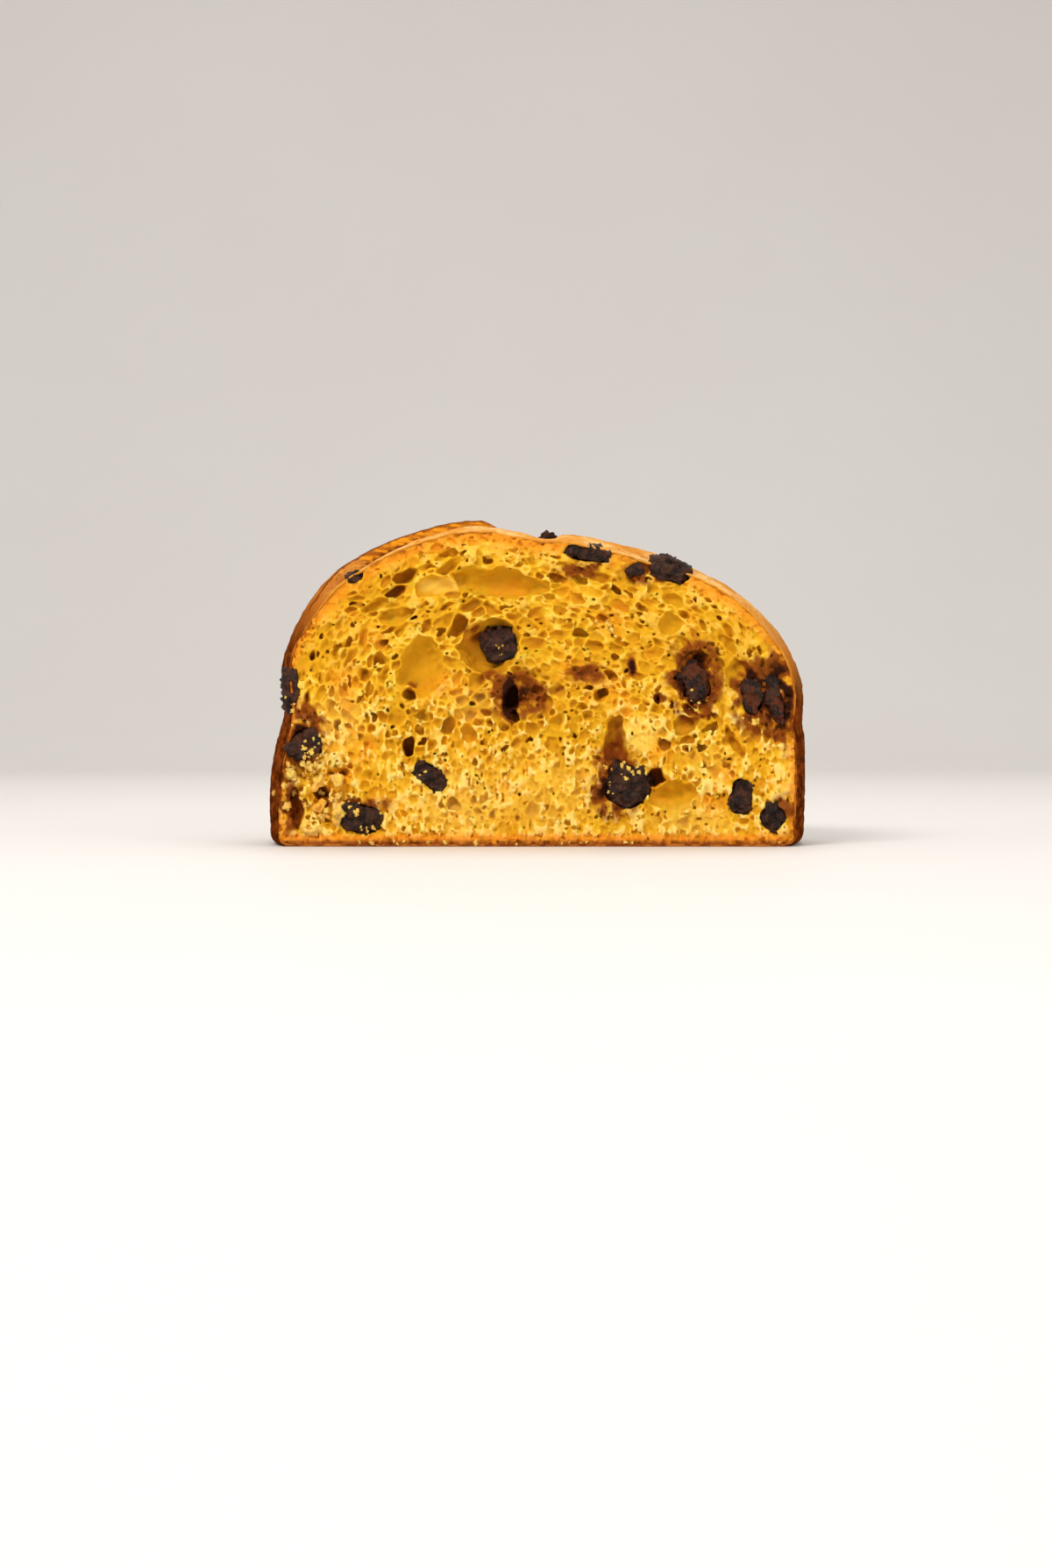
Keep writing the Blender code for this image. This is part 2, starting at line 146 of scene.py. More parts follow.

# Large bubbles in the cut face, as in the model: across and up of the centre, half width,
# half height, depth, tilt in degrees, and how dark the painted shade deep in the lining is from 0 to 1
BUBBLES = {
    "crescent": (-0.0165, 0.1045, 0.0205, 0.0056, 0.0080, -4, 0.30),
    "crescent_shoulder": (-0.0390, 0.1035, 0.0095, 0.0042, 0.0035, 12, 0.05),
    "under_crust": (-0.0523, 0.1070, 0.0054, 0.0027, 0.0110, 15, 0.66),
    "oval_high": (-0.0640, 0.0955, 0.0066, 0.0021, 0.0045, 27, 0.35),
    "oval_low": (-0.0554, 0.0922, 0.0072, 0.0032, 0.0050, 12, 0.25),
    "tall": (-0.0460, 0.0712, 0.0085, 0.0130, 0.0085, -14, 0.12),
    "tall_foot": (-0.0503, 0.0606, 0.0036, 0.0032, 0.0110, 0, 0.55),
    "arch": (-0.0185, 0.0795, 0.0128, 0.0103, 0.0100, 20, 0.55),
    "black_hole": (-0.0106, 0.0587, 0.0033, 0.0062, 0.0150, -4, 1.0),
    "round_high": (0.0255, 0.0910, 0.0029, 0.0029, 0.0060, 0, 0.55),
    "round_low": (0.0255, 0.0608, 0.0030, 0.0030, 0.0070, 0, 0.70),
    "shallow_right": (0.0526, 0.0889, 0.0050, 0.0042, 0.0040, 0, 0.15),
    "slot": (0.0783, 0.0417, 0.0018, 0.0080, 0.0050, 32, 0.60),
    "slit": (-0.0505, 0.0392, 0.0024, 0.0045, 0.0090, 0, 1.0),
    "wedge": (0.0314, 0.0400, 0.0046, 0.0125, 0.0055, 3, 0.70),
    "side_hole": (0.0470, 0.0270, 0.0042, 0.0040, 0.0110, 0, 1.0),
    "low_bowl": (0.0540, 0.0205, 0.0100, 0.0058, 0.0060, 8, 0.10),
    "torn_crack": (-0.0962, 0.0140, 0.0026, 0.0095, 0.0085, 5, 0.90),
    "torn_pit": (-0.0850, 0.0205, 0.0036, 0.0032, 0.0090, 0, 0.90),
    "torn_shelf": (-0.0790, 0.0290, 0.0062, 0.0022, 0.0060, 8, 0.80),
}

# Smaller bubbles that stand out among their neighbours, in the same terms
SMALL_BUBBLES = {
    "below_crescent_left": (-0.0343, 0.0995, 0.0030, 0.0017, 0.0030, -8, 0.60),
    "below_crescent_right": (-0.0220, 0.0992, 0.0022, 0.0019, 0.0030, 0, 0.60),
    "dark_right": (0.0489, 0.0595, 0.0017, 0.0017, 0.0060, 0, 1.0),
    "grey_left": (-0.0680, 0.0680, 0.0030, 0.0030, 0.0030, 0, 0.70),
    "smear_middle": (0.0035, 0.0567, 0.0018, 0.0056, 0.0035, 5, 0.60),
    "fold_middle": (-0.0269, 0.0447, 0.0034, 0.0036, 0.0030, 0, 0.50),
    "beside_shallow": (0.0590, 0.0920, 0.0025, 0.0022, 0.0030, 0, 0.40),
    "above_high": (0.0634, 0.0740, 0.0050, 0.0042, 0.0050, 30, 0.50),
    "above_inner": (0.0790, 0.0690, 0.0040, 0.0066, 0.0040, -20, 0.35),
}

# The walls between cells, and the cells' sizes, spread and tilt. Towards the crust cells lie along it.
CELL_WALL = 0.00050
DEEP_WALL = 0.00065
DEEP_WALL_STARTS = (0.0003, 0.0020)
CELL_GROWTH = 0.00120
CELL_FLATNESS = 0.80
CELL_SLANT = 1.25
WALL_CHANGE = 0.00032
WALL_CHANGE_PITCH = 0.0026
CELL_RADIUS = 0.00125
CELL_CLASSES = ((2.5, 120), (2.0, 600), (1.6, 2600), (1.25, 9000), (1.0, 24000), (0.78, 50000))
CELL_OVERLAP = 0.28
CELL_TO_CRUST = 0.0007
CELL_VARIES = (0.85, 1.15)
CELL_TURN = 0.22
# The most painted shade that a cell's lining may draw at random, before it is squared
MOST_LINING_SHADE = 0.9
SLANT_FADE = (0.075, 0.030)
NO_CELLS_WITHIN = 0.0010
CELL_PATCH_PITCH = 0.018
# The painted shade that every cell's lining has, and the radii over which a small cell goes from none to all
# of its random share
CELL_LINING_SHADE = 0.29
PALE_CELL = 0.0008
DARK_CELL = 0.0015

# The share of cells that the knife opened through their middles, and where those lie behind the cut
FRONT_SHARE = 0.36
FRONT_CELLS = (-0.0003, 0.0009)
NEIGHBOUR_REACH = 0.0019
WARPS = ((0.0036, 0.00050), (0.0090, 0.00075))
FRAY_HEIGHT = 0.00018
FRAY_PITCH = 0.0012

# The fluffy lower half, drawn upwards in strands
STRAND_PITCHES = (0.0011, 0.0013, 0.0042)
STRAND_HEIGHT = 0.00030
STRAND_TEAR = 0.00075
STRANDS_BELOW = 0.062

# Lumps of the torn corner, and tears over the whole face, as pitch and height
TORN_LUMPS = ((0.0052, 0.0016), (0.0024, 0.0008))
TEAR_HEIGHTS = ((0.0070, 0.00050), (0.0034, 0.00080), (0.0016, 0.00042))

# The depth behind the cut at which the crumb's painted shade is darkest
CRUMB_DARKEST = 0.008

# How far off the straight the eye may look into the crumb, as tangents, from how many sides, and how
# many steps of the grid are kept round what it sees
SIGHT_SLANTS = (0.3, 0.65, 1.1)
SIGHT_WAYS = 10
SIGHT_GROWTH = 3

# The depth from which crumb behind the crust is left out
HIDDEN_DEPTH = 0.0020

# The height of the browned band along the base
BASE_BAND = 0.0050

# How far behind the cut the crumb's front is still cream, a painted highlight on what stands forward
CREAM_HIGHLIGHT_DEPTH = 0.0011

# Unevenness of the crumb's colours, as pitch and height
PATCHY = (0.0024, 0.5)
BROKEN = (0.0042, 0.8)

# How deep the browning reaches behind the crust: everywhere, then what the dome and the base add
TOAST_REACH = 0.0030
DOME_TOAST = 0.0024
BASE_TOAST = 0.0016

# How the crumb opens round a chocolate piece
SEAT_SAMPLES = 0.0012
SEAT_FRONT = 0.0010
SEAT_OVERLAP = 0.0003
SEAT_MARGIN = 0.002
SEAT_REACH = 0.004

# Brown where chocolate melted into the crumb, and painted shadow in a few deep places: across, up, half
# width, half height, strength
STAINS_AND_SHADOWS = (
    # Painted shade: the black inside of the deep hole
    (-0.0106, 0.0587, 0.0026, 0.0060, 3.0),
    (-0.0080, 0.0605, 0.0120, 0.0085, 0.60),
    (-0.0130, 0.0665, 0.0090, 0.0042, 0.55),
    (0.0625, 0.0660, 0.0085, 0.0135, 0.9),
    (0.0855, 0.0605, 0.0070, 0.0120, 1.0),
    (0.0960, 0.0590, 0.0060, 0.0160, 1.0),
    (0.0200, 0.0685, 0.0080, 0.0040, 0.45),
    (0.0180, 0.1100, 0.0100, 0.0035, 0.5),
    (0.0460, 0.1085, 0.0120, 0.0045, 0.5),
    (-0.0940, 0.0440, 0.0090, 0.0110, 0.8),
    (0.0376, 0.0709, 0.0014, 0.0032, 1.0),
    (0.0489, 0.0595, 0.0022, 0.0022, 0.8),
    (0.0310, 0.0250, 0.0090, 0.0110, 0.9),
    # Painted shadow in the wedge
    (0.0312, 0.0400, 0.0034, 0.0095, 0.40),
    (0.0985, 0.0160, 0.0050, 0.0050, 0.45),
    # Painted shadow on the arch's left side and top
    (-0.0245, 0.0850, 0.0050, 0.0040, 0.40),
    (-0.0485, 0.0630, 0.0045, 0.0050, 0.30),
    (-0.0985, 0.0160, 0.0040, 0.0100, 0.55),
    (-0.0850, 0.0160, 0.0060, 0.0040, 0.35),
    (-0.0690, 0.0160, 0.0110, 0.0040, 0.45),
)

# A pale, close-grained blotch: across, up, half width, half height
BLOTCH = (0.0418, 0.0450, 0.0070, 0.0080)
BLOTCH_EDGE = 1.2
BLOTCH_CLOSES = 0.0012

# Paler crumb: across, up, half width, half height, strength
PALE_PATCHES = (
    (*BLOTCH, 1.0),
    (-0.0390, 0.1035, 0.0085, 0.0038, 0.7),
    (-0.0300, 0.0190, 0.0200, 0.0150, 0.50),
    (0.0020, 0.0210, 0.0240, 0.0170, 0.35),
    (0.0610, 0.0100, 0.0170, 0.0080, 0.40),
    (0.0680, 0.0330, 0.0110, 0.0120, 0.30),
    (-0.0780, 0.0500, 0.0110, 0.0130, 0.40),
    (-0.0250, 0.0560, 0.0140, 0.0070, 0.30),
)

# The chocolate's crags
CHOCOLATE_MESH = 0.00055
CHOCOLATE_THICK = 0.010
CHOCOLATE_LUMP = 0.20
CHOCOLATE_LUMP_PITCH = 0.55
CHOCOLATE_BLOCK = 0.0045
CHOCOLATE_GROOVE = 0.0007
CHOCOLATE_GRAIN = 0.00060
CHOCOLATE_GRAIN_PITCH = 0.0013
CHOCOLATE_SWELL = 0.0004
CHOCOLATE_TOOTH = 0.0009
CHOCOLATE_TOOTH_PITCH = 0.0034
CHOCOLATE_STEP = 0.0006
CHOCOLATE_BEND = 0.5
GROOVE_SHARE = 0.30
NOISE_STEPS = (1.7, -2.3, 3.1)

# How far the hollows of a piece have melted into brown crumb, from 0 to 1, and how deep such a hollow is
MELT_DEPTH = -0.0010
USUALLY_MELTED = 0.35
MELTED = {
    "chocolate_right_high": 1.0,
    "chocolate_right_inner": 1.0,
    "chocolate_right_outer": 1.0,
    "chocolate_core": 0.45,
    "chocolate_left_low": 0.6,
    "chocolate_arch": 0.5,
}

# Crumbs that cling to the cut face: across, up, spread across, spread up, number, size
LOOSE_CRUMBS = (
    (-0.0895, 0.0385, 0.0026, 0.0020, 20, 0.0009),
    (-0.0975, 0.0560, 0.0008, 0.0030, 6, 0.0007),
    (-0.0890, 0.0280, 0.0060, 0.0030, 12, 0.0020),
    (-0.0850, 0.0180, 0.0075, 0.0065, 16, 0.0030),
    (-0.0670, 0.0075, 0.0030, 0.0009, 9, 0.0006),
    (-0.0725, 0.0160, 0.0018, 0.0020, 5, 0.0008),
    (0.0350, 0.0320, 0.0045, 0.0022, 12, 0.0010),
    (0.0290, 0.0250, 0.0015, 0.0035, 5, 0.0007),
    (-0.0440, 0.0300, 0.0025, 0.0020, 3, 0.0006),
    (-0.0130, 0.0770, 0.0030, 0.0020, 5, 0.0006),
    (0.0865, 0.0500, 0.0020, 0.0016, 6, 0.0008),
    (0.0655, 0.0590, 0.0020, 0.0016, 5, 0.0007),
    (0.0290, 0.0860, 0.0030, 0.0025, 9, 0.0010),
    (-0.0450, 0.0014, 0.0180, 0.0005, 9, 0.0012),
    (0.0100, 0.0012, 0.0300, 0.0005, 8, 0.0010),
)

# How loose crumbs are set down: the ray's start in front of the cut and its length, and the form of
# a crumb, as shares of its size
RAY_START = 0.05
RAY_LENGTH = 0.065
LEAST_CRUMB = 0.25
CRUMB_BODY = 0.75
CRUMB_LUMPS = (1.2, 1.1)
CRUMB_CRAGS = (2.6, 0.9)
CRUMB_STRETCH = 0.35
CRUMB_FORWARD = 0.2
CRUMB_VARIETY = 900

# Colours as linear red, green, blue
# Cream is a painted highlight on the crumb's front where it stands forward
CRUMB_CREAM_HIGHLIGHT = (0.97, 0.70, 0.20)
CRUMB_PALE = (0.95, 0.62, 0.10)
# Yellow, gold, olive, amber and deep brown, as they come in with depth behind the cut, are painted shade in
# the crumb's recesses; gold is also the crumb's own uneven tone
CRUMB_YELLOW = (0.90, 0.51, 0.022)
CRUMB_GOLD = (0.69, 0.345, 0.008)
CRUMB_AMBER_SHADE = (0.58, 0.240, 0.006)
CRUMB_DEEP_SHADE = (0.18, 0.038, 0.001)
CRUMB_OLIVE = (0.60, 0.39, 0.020)
LOOSE_CREAM = (0.86, 0.54, 0.13)
TOAST_ORANGE = (0.84, 0.30, 0.014)
TOAST_BROWN = (0.33, 0.085, 0.010)
TORN_BROWN = (0.36, 0.095, 0.010)
RIM_ORANGE = (0.66, 0.24, 0.030)
# Melted chocolate's brown, also used for the painted shadows among the stains
STAIN_AND_SHADOW_RED = (0.25, 0.050, 0.004)
STAIN_AND_SHADOW_BROWN = (0.030, 0.006, 0.001)
# The dome's tan is paler than the crust's own: a painted sheen, as the crust has no specular
DOME_TAN_AND_SHEEN = (0.90, 0.52, 0.18)
DOME_ORANGE = (0.76, 0.32, 0.055)
DOME_RUST = (0.50, 0.150, 0.016)
DOME_BROWN = (0.20, 0.050, 0.009)
# A painted shade in the groove under a lifted flap
GROOVE_SHADE_BROWN = (0.14, 0.030, 0.004)
RIM_GOLD = (0.78, 0.33, 0.030)
WALL_TAN = (0.55, 0.17, 0.018)
WALL_BROWN = (0.24, 0.048, 0.006)
WALL_DARK = (0.070, 0.012, 0.002)
CHOCOLATE_DARK = (0.010, 0.004, 0.0025)
CHOCOLATE_BROWN = (0.060, 0.021, 0.010)
CHOCOLATE_RED = (0.085, 0.022, 0.008)
# Painted highlights on the tops of the chocolate's fine lumps
CHOCOLATE_HIGHLIGHT = (0.20, 0.095, 0.052)
CHOCOLATE_MELTED = (0.13, 0.028, 0.005)
FLOOR_PALE = (0.78, 0.75, 0.72)
FLOOR_PALER = (0.84, 0.82, 0.80)

# The floor and the backdrop that it curves up into
FLOOR_FRONT = -3.0
FLOOR_BACK = 1.2
FLOOR_HALF_WIDTH = 4.0
BACKDROP_CURVE = 0.8
BACKDROP_HEIGHT = 4.0
CURVE_STEPS = 12

# The lights: place, size, power and colour
LIGHTS = {
    "key": ((-0.70, -1.20, 1.25), (0.7, 0.5), 19, (1.0, 0.97, 0.93)),
    "fill": ((1.1, -1.2, 0.6), (0.9, 0.9), 6, (1.0, 0.98, 0.96)),
    "top": ((0.1, 0.5, 1.4), (0.9, 0.9), 9, (1.0, 0.98, 0.96)),
}
LIGHTS_AIM = (0, 0, 0.06)
WORLD_COLOUR = (1.0, 0.98, 0.96, 1)
WORLD_STRENGTH = 0.55

# The camera, from the photograph of 1200 x 1789 pixels
CAMERA_DISTANCE = 1.185
CAMERA_HEIGHT = 0.058
CAMERA_ACROSS = -0.0036
CAMERA_TILT = math.radians(1.603)
CAMERA_TURN = math.radians(0.034)
CAMERA_LENS = 68.66
CAMERA_SENSOR = 36
CAMERA_CLIP = (0.01, 20)

SEED = 20


def smooth(low, high, value):
    """0 below low, 1 above high, and an even curve between. value is a number or an array."""
    share = (value - low) / (high - low)
    share = min(1.0, max(0.0, share)) if isinstance(share, float) else np.clip(share, 0, 1)
    return share * share * (3 - 2 * share)


def score_flap(x, y):
    """The scored cross at a place seen from above: its rise, how far outside an arm it is, and its lip."""
    across, ahead = x - SCORE_CENTRE[0], y - SCORE_CENTRE[1]
    u = across * math.cos(SCORE_TURN) + ahead * math.sin(SCORE_TURN)
    v = ahead * math.cos(SCORE_TURN) - across * math.sin(SCORE_TURN)
    along, aside = max(abs(u), abs(v)), min(abs(u), abs(v))
    arm_length = FRONT_ARM_LENGTH if v < -abs(u) else SCORE_LENGTH
    left = max(0.0, 1 - along / arm_length)
    outside = aside - SCORE_HALF_WIDTH * left**SCORE_TAPER
    flap = smooth(-LIP_STEP / 2, LIP_STEP / 2, outside)
    open_share = smooth(0, SCORE_FADE, left)
    rim_fade = smooth(0, TALL_FLAP_RIM_FADE, 1 - math.hypot(x, y) / LOAF_RADIUS)
    swell = 0.0
    if u < 0 < v:
        lip = TALL_FLAP_HEIGHT * math.exp(-max(outside, 0) / TALL_FLAP_REACH)
        lip *= rim_fade * smooth(*TALL_FLAP_END, -u)
    else:
        lip = LOW_LIP_HEIGHT * math.exp(-max(outside, 0) / LOW_LIP_REACH) * open_share
        swell = FRONT_SWELL_HEIGHT * rim_fade * smooth(*FRONT_SWELL_START, -u)
    return flap * (lip + swell) - (1 - flap) * SCORE_DEPTH * open_share, outside, lip


def crust_relief(point):
    """How far the crust stands out of the turned form at a point, and the cross's lip and arm there."""
    x, y, z = point
    uneven = LUMP_HEIGHT * noise.noise(point / LUMP_PITCH)
    uneven += DIMPLE_HEIGHT * noise.noise(point / DIMPLE_PITCH)
    leftness = max(0.0, -x / LOAF_RADIUS) ** 2
    left_rise = (z - LEFT_NOTCH_HEIGHT) / LEFT_NOTCH_REACH
    rim_rise = (z - RIM_NOTCH_HEIGHT) / RIM_NOTCH_REACH
    notch = LEFT_NOTCH_DEPTH * leftness * math.exp(-left_rise * left_rise)
    notch += RIM_NOTCH_DEPTH * (1 - leftness) * math.exp(-rim_rise * rim_rise)
    from_dent = math.hypot(x - DENT_CENTRE[0], y - DENT_CENTRE[1]) / DENT_REACH
    dent = DENT_DEPTH * math.exp(-from_dent * from_dent)
    on_dome = smooth(WALL_HEIGHT, WALL_HEIGHT + DOME_RISE / 2, z)
    rise, outside, lip = score_flap(x, y)
    return uneven - notch + on_dome * (rise - dent), on_dome * lip, outside


def outward(point):
    """The direction out of the turned form at a point of its dome or wall."""
    if point.z > WALL_HEIGHT:
        steepness = (point.z - WALL_HEIGHT) / DOME_RISE**2
        return Vector((point.x / LOAF_RADIUS**2, point.y / LOAF_RADIUS**2, steepness)).normalized()
    return Vector((point.x, point.y, 0)).normalized()


def knife_path(x, z):
    """How far behind the plain cut the knife's path lies at a place in the face."""
    wave = FACE_WAVE_HEIGHT * noise.noise(Vector((x, 0, z)) / FACE_WAVE_PITCH)
    crag = TORN_CRAG_HEIGHT * noise.noise(Vector((x, 0, z)) / TORN_CRAG_PITCH)
    from_torn = math.hypot(x - TORN_CENTRE[0], z - TORN_CENTRE[1]) / TORN_REACH
    return wave + (TORN_DEPTH + crag) * math.exp(-from_torn * from_torn)


def new_object(name, data):
    made = bpy.data.objects.new(name, data)
    bpy.context.scene.collection.objects.link(made)
    return made


def evaluated_mesh(obj):
    """The mesh of an object with its modifiers applied. The object is removed."""
    bpy.context.view_layer.update()
    evaluated = obj.evaluated_get(bpy.context.evaluated_depsgraph_get())
    mesh = bpy.data.meshes.new_from_object(evaluated)
    bpy.data.objects.remove(obj)
    return mesh


def remeshed(obj, size):
    """The mesh of an object in even squares of that size. The object is removed."""
    even = obj.modifiers.new("even", "REMESH")
    even.mode = "VOXEL"
    even.voxel_size = size
    return evaluated_mesh(obj)


def made_mesh(shape, name):
    """A smooth mesh from a bmesh, which is freed."""
    mesh = bpy.data.meshes.new(name)
    shape.to_mesh(mesh)
    shape.free()
    mesh.shade_smooth()
    return mesh


def points_of(mesh):
    flat = np.empty(len(mesh.vertices) * 3, np.float32)
    mesh.vertices.foreach_get("co", flat)
    return flat.reshape(-1, 3)


def mesh_of(name, points, faces):
    """A mesh from an array of points and one of faces with the same number of corners."""
    mesh = bpy.data.meshes.new(name)
    corners = faces.shape[1]
    mesh.vertices.add(len(points))
    mesh.vertices.foreach_set("co", points.astype(np.float32).ravel())
    mesh.loops.add(faces.size)
    mesh.loops.foreach_set("vertex_index", faces.astype(np.int32).ravel())
    mesh.polygons.add(len(faces))
    mesh.polygons.foreach_set("loop_start", np.arange(0, faces.size, corners, dtype=np.int32))
    mesh.update(calc_edges=True)
    mesh.shade_smooth()
    return mesh


def set_attribute(mesh, name, values):
    made = mesh.attributes.new(name, "FLOAT", "POINT")
    made.data.foreach_set("value", np.asarray(values, np.float32))


def dress(obj, material, slot, *nodes):
    """Gives a piece its material, and says what it rides on and stands for."""
    obj.data.materials.clear()
    obj.data.materials.append(material)
    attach(obj, "root")
    if nodes:
        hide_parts(*nodes)


def feed(tree, socket, value):
    """Gives a socket another node's output, a colour or a number."""
    if isinstance(value, bpy.types.NodeSocket):
        tree.links.new(value, socket)
    elif socket.type == "RGBA":
        socket.default_value = (*value, 1)
    else:
        socket.default_value = value


def add(tree, kind, settings=None, **inputs):
    """A shader node with its settings and inputs."""
    made = tree.nodes.new(kind)
    for key, value in (settings or {}).items():
        setattr(made, key, value)
    for key, value in inputs.items():
        feed(tree, made.inputs[key.replace("_", " ")], value)
    return made


def new_material(name, **inputs):
    """A material, its node tree and its Principled BSDF, with values set on its sockets."""
    material = bpy.data.materials.new(name)
    material.use_nodes = True
    tree = material.node_tree
    shader = tree.nodes["Principled BSDF"]
    for key, value in inputs.items():
        shader.inputs[key.replace("_", " ")].default_value = value
    return material, tree, shader


def attributes(tree, *names):
    return [add(tree, "ShaderNodeAttribute", {"attribute_name": name}).outputs["Fac"] for name in names]


def noise_of(tree, pitch, detail=3.0, roughness=0.55, stretch=None):
    """Noise in the object's own coordinates, by the size of its lumps."""
    place = add(tree, "ShaderNodeTexCoord").outputs["Object"]
    if stretch:
        place = add(tree, "ShaderNodeMapping", Vector=place, Scale=stretch).outputs["Vector"]
    made = add(tree, "ShaderNodeTexNoise", Vector=place, Scale=1 / pitch, Detail=detail, Roughness=roughness)
    return made.outputs["Fac"]


def between(tree, value, low, high, to_low=0.0, to_high=1.0):
    """value's place between low and high, as a smooth share."""
    settings = {"interpolation_type": "SMOOTHSTEP"}
    inputs = {"From_Min": low, "From_Max": high, "To_Min": to_low, "To_Max": to_high}
    return add(tree, "ShaderNodeMapRange", settings, Value=value, **inputs).outputs["Result"]


def maths(tree, operation, total, *others):
    """Values joined one after another by an operation."""
    for other in others:
        made = add(tree, "ShaderNodeMath", {"operation": operation})
        feed(tree, made.inputs[0], total)
        feed(tree, made.inputs[1], other)
        total = made.outputs[0]
    return total


def weighted(tree, *terms):
    """The sum of values, each with its weight."""
    return maths(tree, "ADD", *(maths(tree, "MULTIPLY", value, weight) for value, weight in terms))


def mixed(tree, share, first, second):
    """A mix of two colours, each a tuple or another node's output."""
    made = add(tree, "ShaderNodeMix", {"data_type": "RGBA"})
    sockets = [made.inputs["Factor"], *[s for s in made.inputs if s.type == "RGBA"]]
    for socket, value in zip(sockets, (share, first, second)):
        feed(tree, socket, value)
    return next(s for s in made.outputs if s.type == "RGBA")


def layered(tree, colour, *layers):
    """A colour with others over it. A layer is what it follows, from where to where it grows, its most,
    and its colour."""
    for value, low, high, most, over in layers:
        colour = mixed(tree, between(tree, value, low, high, 0.0, most), colour, over)
    return colour


def finish(tree, shader, colour, relief, height, strength=1.0):
    """Gives a shader its colour, and bumps of that height."""
    bump = add(tree, "ShaderNodeBump", Height=relief, Distance=height, Strength=strength)
    tree.links.new(bump.outputs["Normal"], shader.inputs["Normal"])
    tree.links.new(colour, shader.inputs["Base Color"])


def crumb_material():
    material, tree, shader = new_material(
        "crumb",
        Roughness=0.6,
        Specular_IOR_Level=0.06,
        Subsurface_Weight=0.50,
        Subsurface_Radius=(1.0, 0.46, 0.08),
        Subsurface_Scale=0.0020,
    )
    depth, lining_shade, pale, cream_highlight = attributes(tree, "depth", "lining_shade", "pale", "cream_highlight")
    toast, stain_and_shadow = attributes(tree, "toast", "stain_and_shadow")
    # Further behind the cut the crumb turns yellow, gold and olive, and in shaded cells amber and deep brown:
    # painted shade in the recesses
    ragged_depth = weighted(tree, (depth, 1.0), (noise_of(tree, 0.0012), 0.22))
    deep_shade = maths(tree, "MULTIPLY", between(tree, lining_shade, 0.10, 0.95), between(tree, depth, 0.02, 0.28))
    lining = layered(
        tree,
        CRUMB_PALE,
        (ragged_depth, 0.08, 0.18, 1.0, CRUMB_YELLOW),
        (depth, 0.01, 0.17, 1.0, CRUMB_GOLD),
        (noise_of(tree, 0.011), 0.42, 0.62, 0.55, CRUMB_GOLD),
        (deep_shade, 0.0, 0.60, 1.0, CRUMB_AMBER_SHADE),
        (deep_shade, 0.62, 1.0, 1.0, CRUMB_DEEP_SHADE),
    )
    greenish = maths(
        tree,
        "MULTIPLY",
        between(tree, noise_of(tree, 0.007), 0.50, 0.66, 0.0, 0.5),
        between(tree, depth, 0.15, 0.45),
        between(tree, lining_shade, 0.36, 0.30),
    )
    colour = layered(
        tree,
        mixed(tree, greenish, lining, CRUMB_OLIVE),
        (noise_of(tree, 0.016), 0.50, 0.72, 0.45, TOAST_ORANGE),
        (pale, 0.0, 1.0, 0.8, CRUMB_PALE),
        # Painted highlight: cream on the crumb's front
        (cream_highlight, 0.15, 0.9, 0.8, CRUMB_CREAM_HIGHLIGHT),
        (toast, 0.12, 0.60, 0.90, TOAST_ORANGE),
        (toast, 0.70, 1.0, 1.0, TOAST_BROWN),
        # Melted chocolate's brown, and a few painted shadows
        (stain_and_shadow, 0.08, 0.40, 0.95, STAIN_AND_SHADOW_RED),
        (stain_and_shadow, 0.40, 0.95, 1.0, STAIN_AND_SHADOW_BROWN),
    )
    finish(tree, shader, colour, noise_of(tree, 0.0016, 5.0, 0.7), 0.0006, 0.7)
    return material


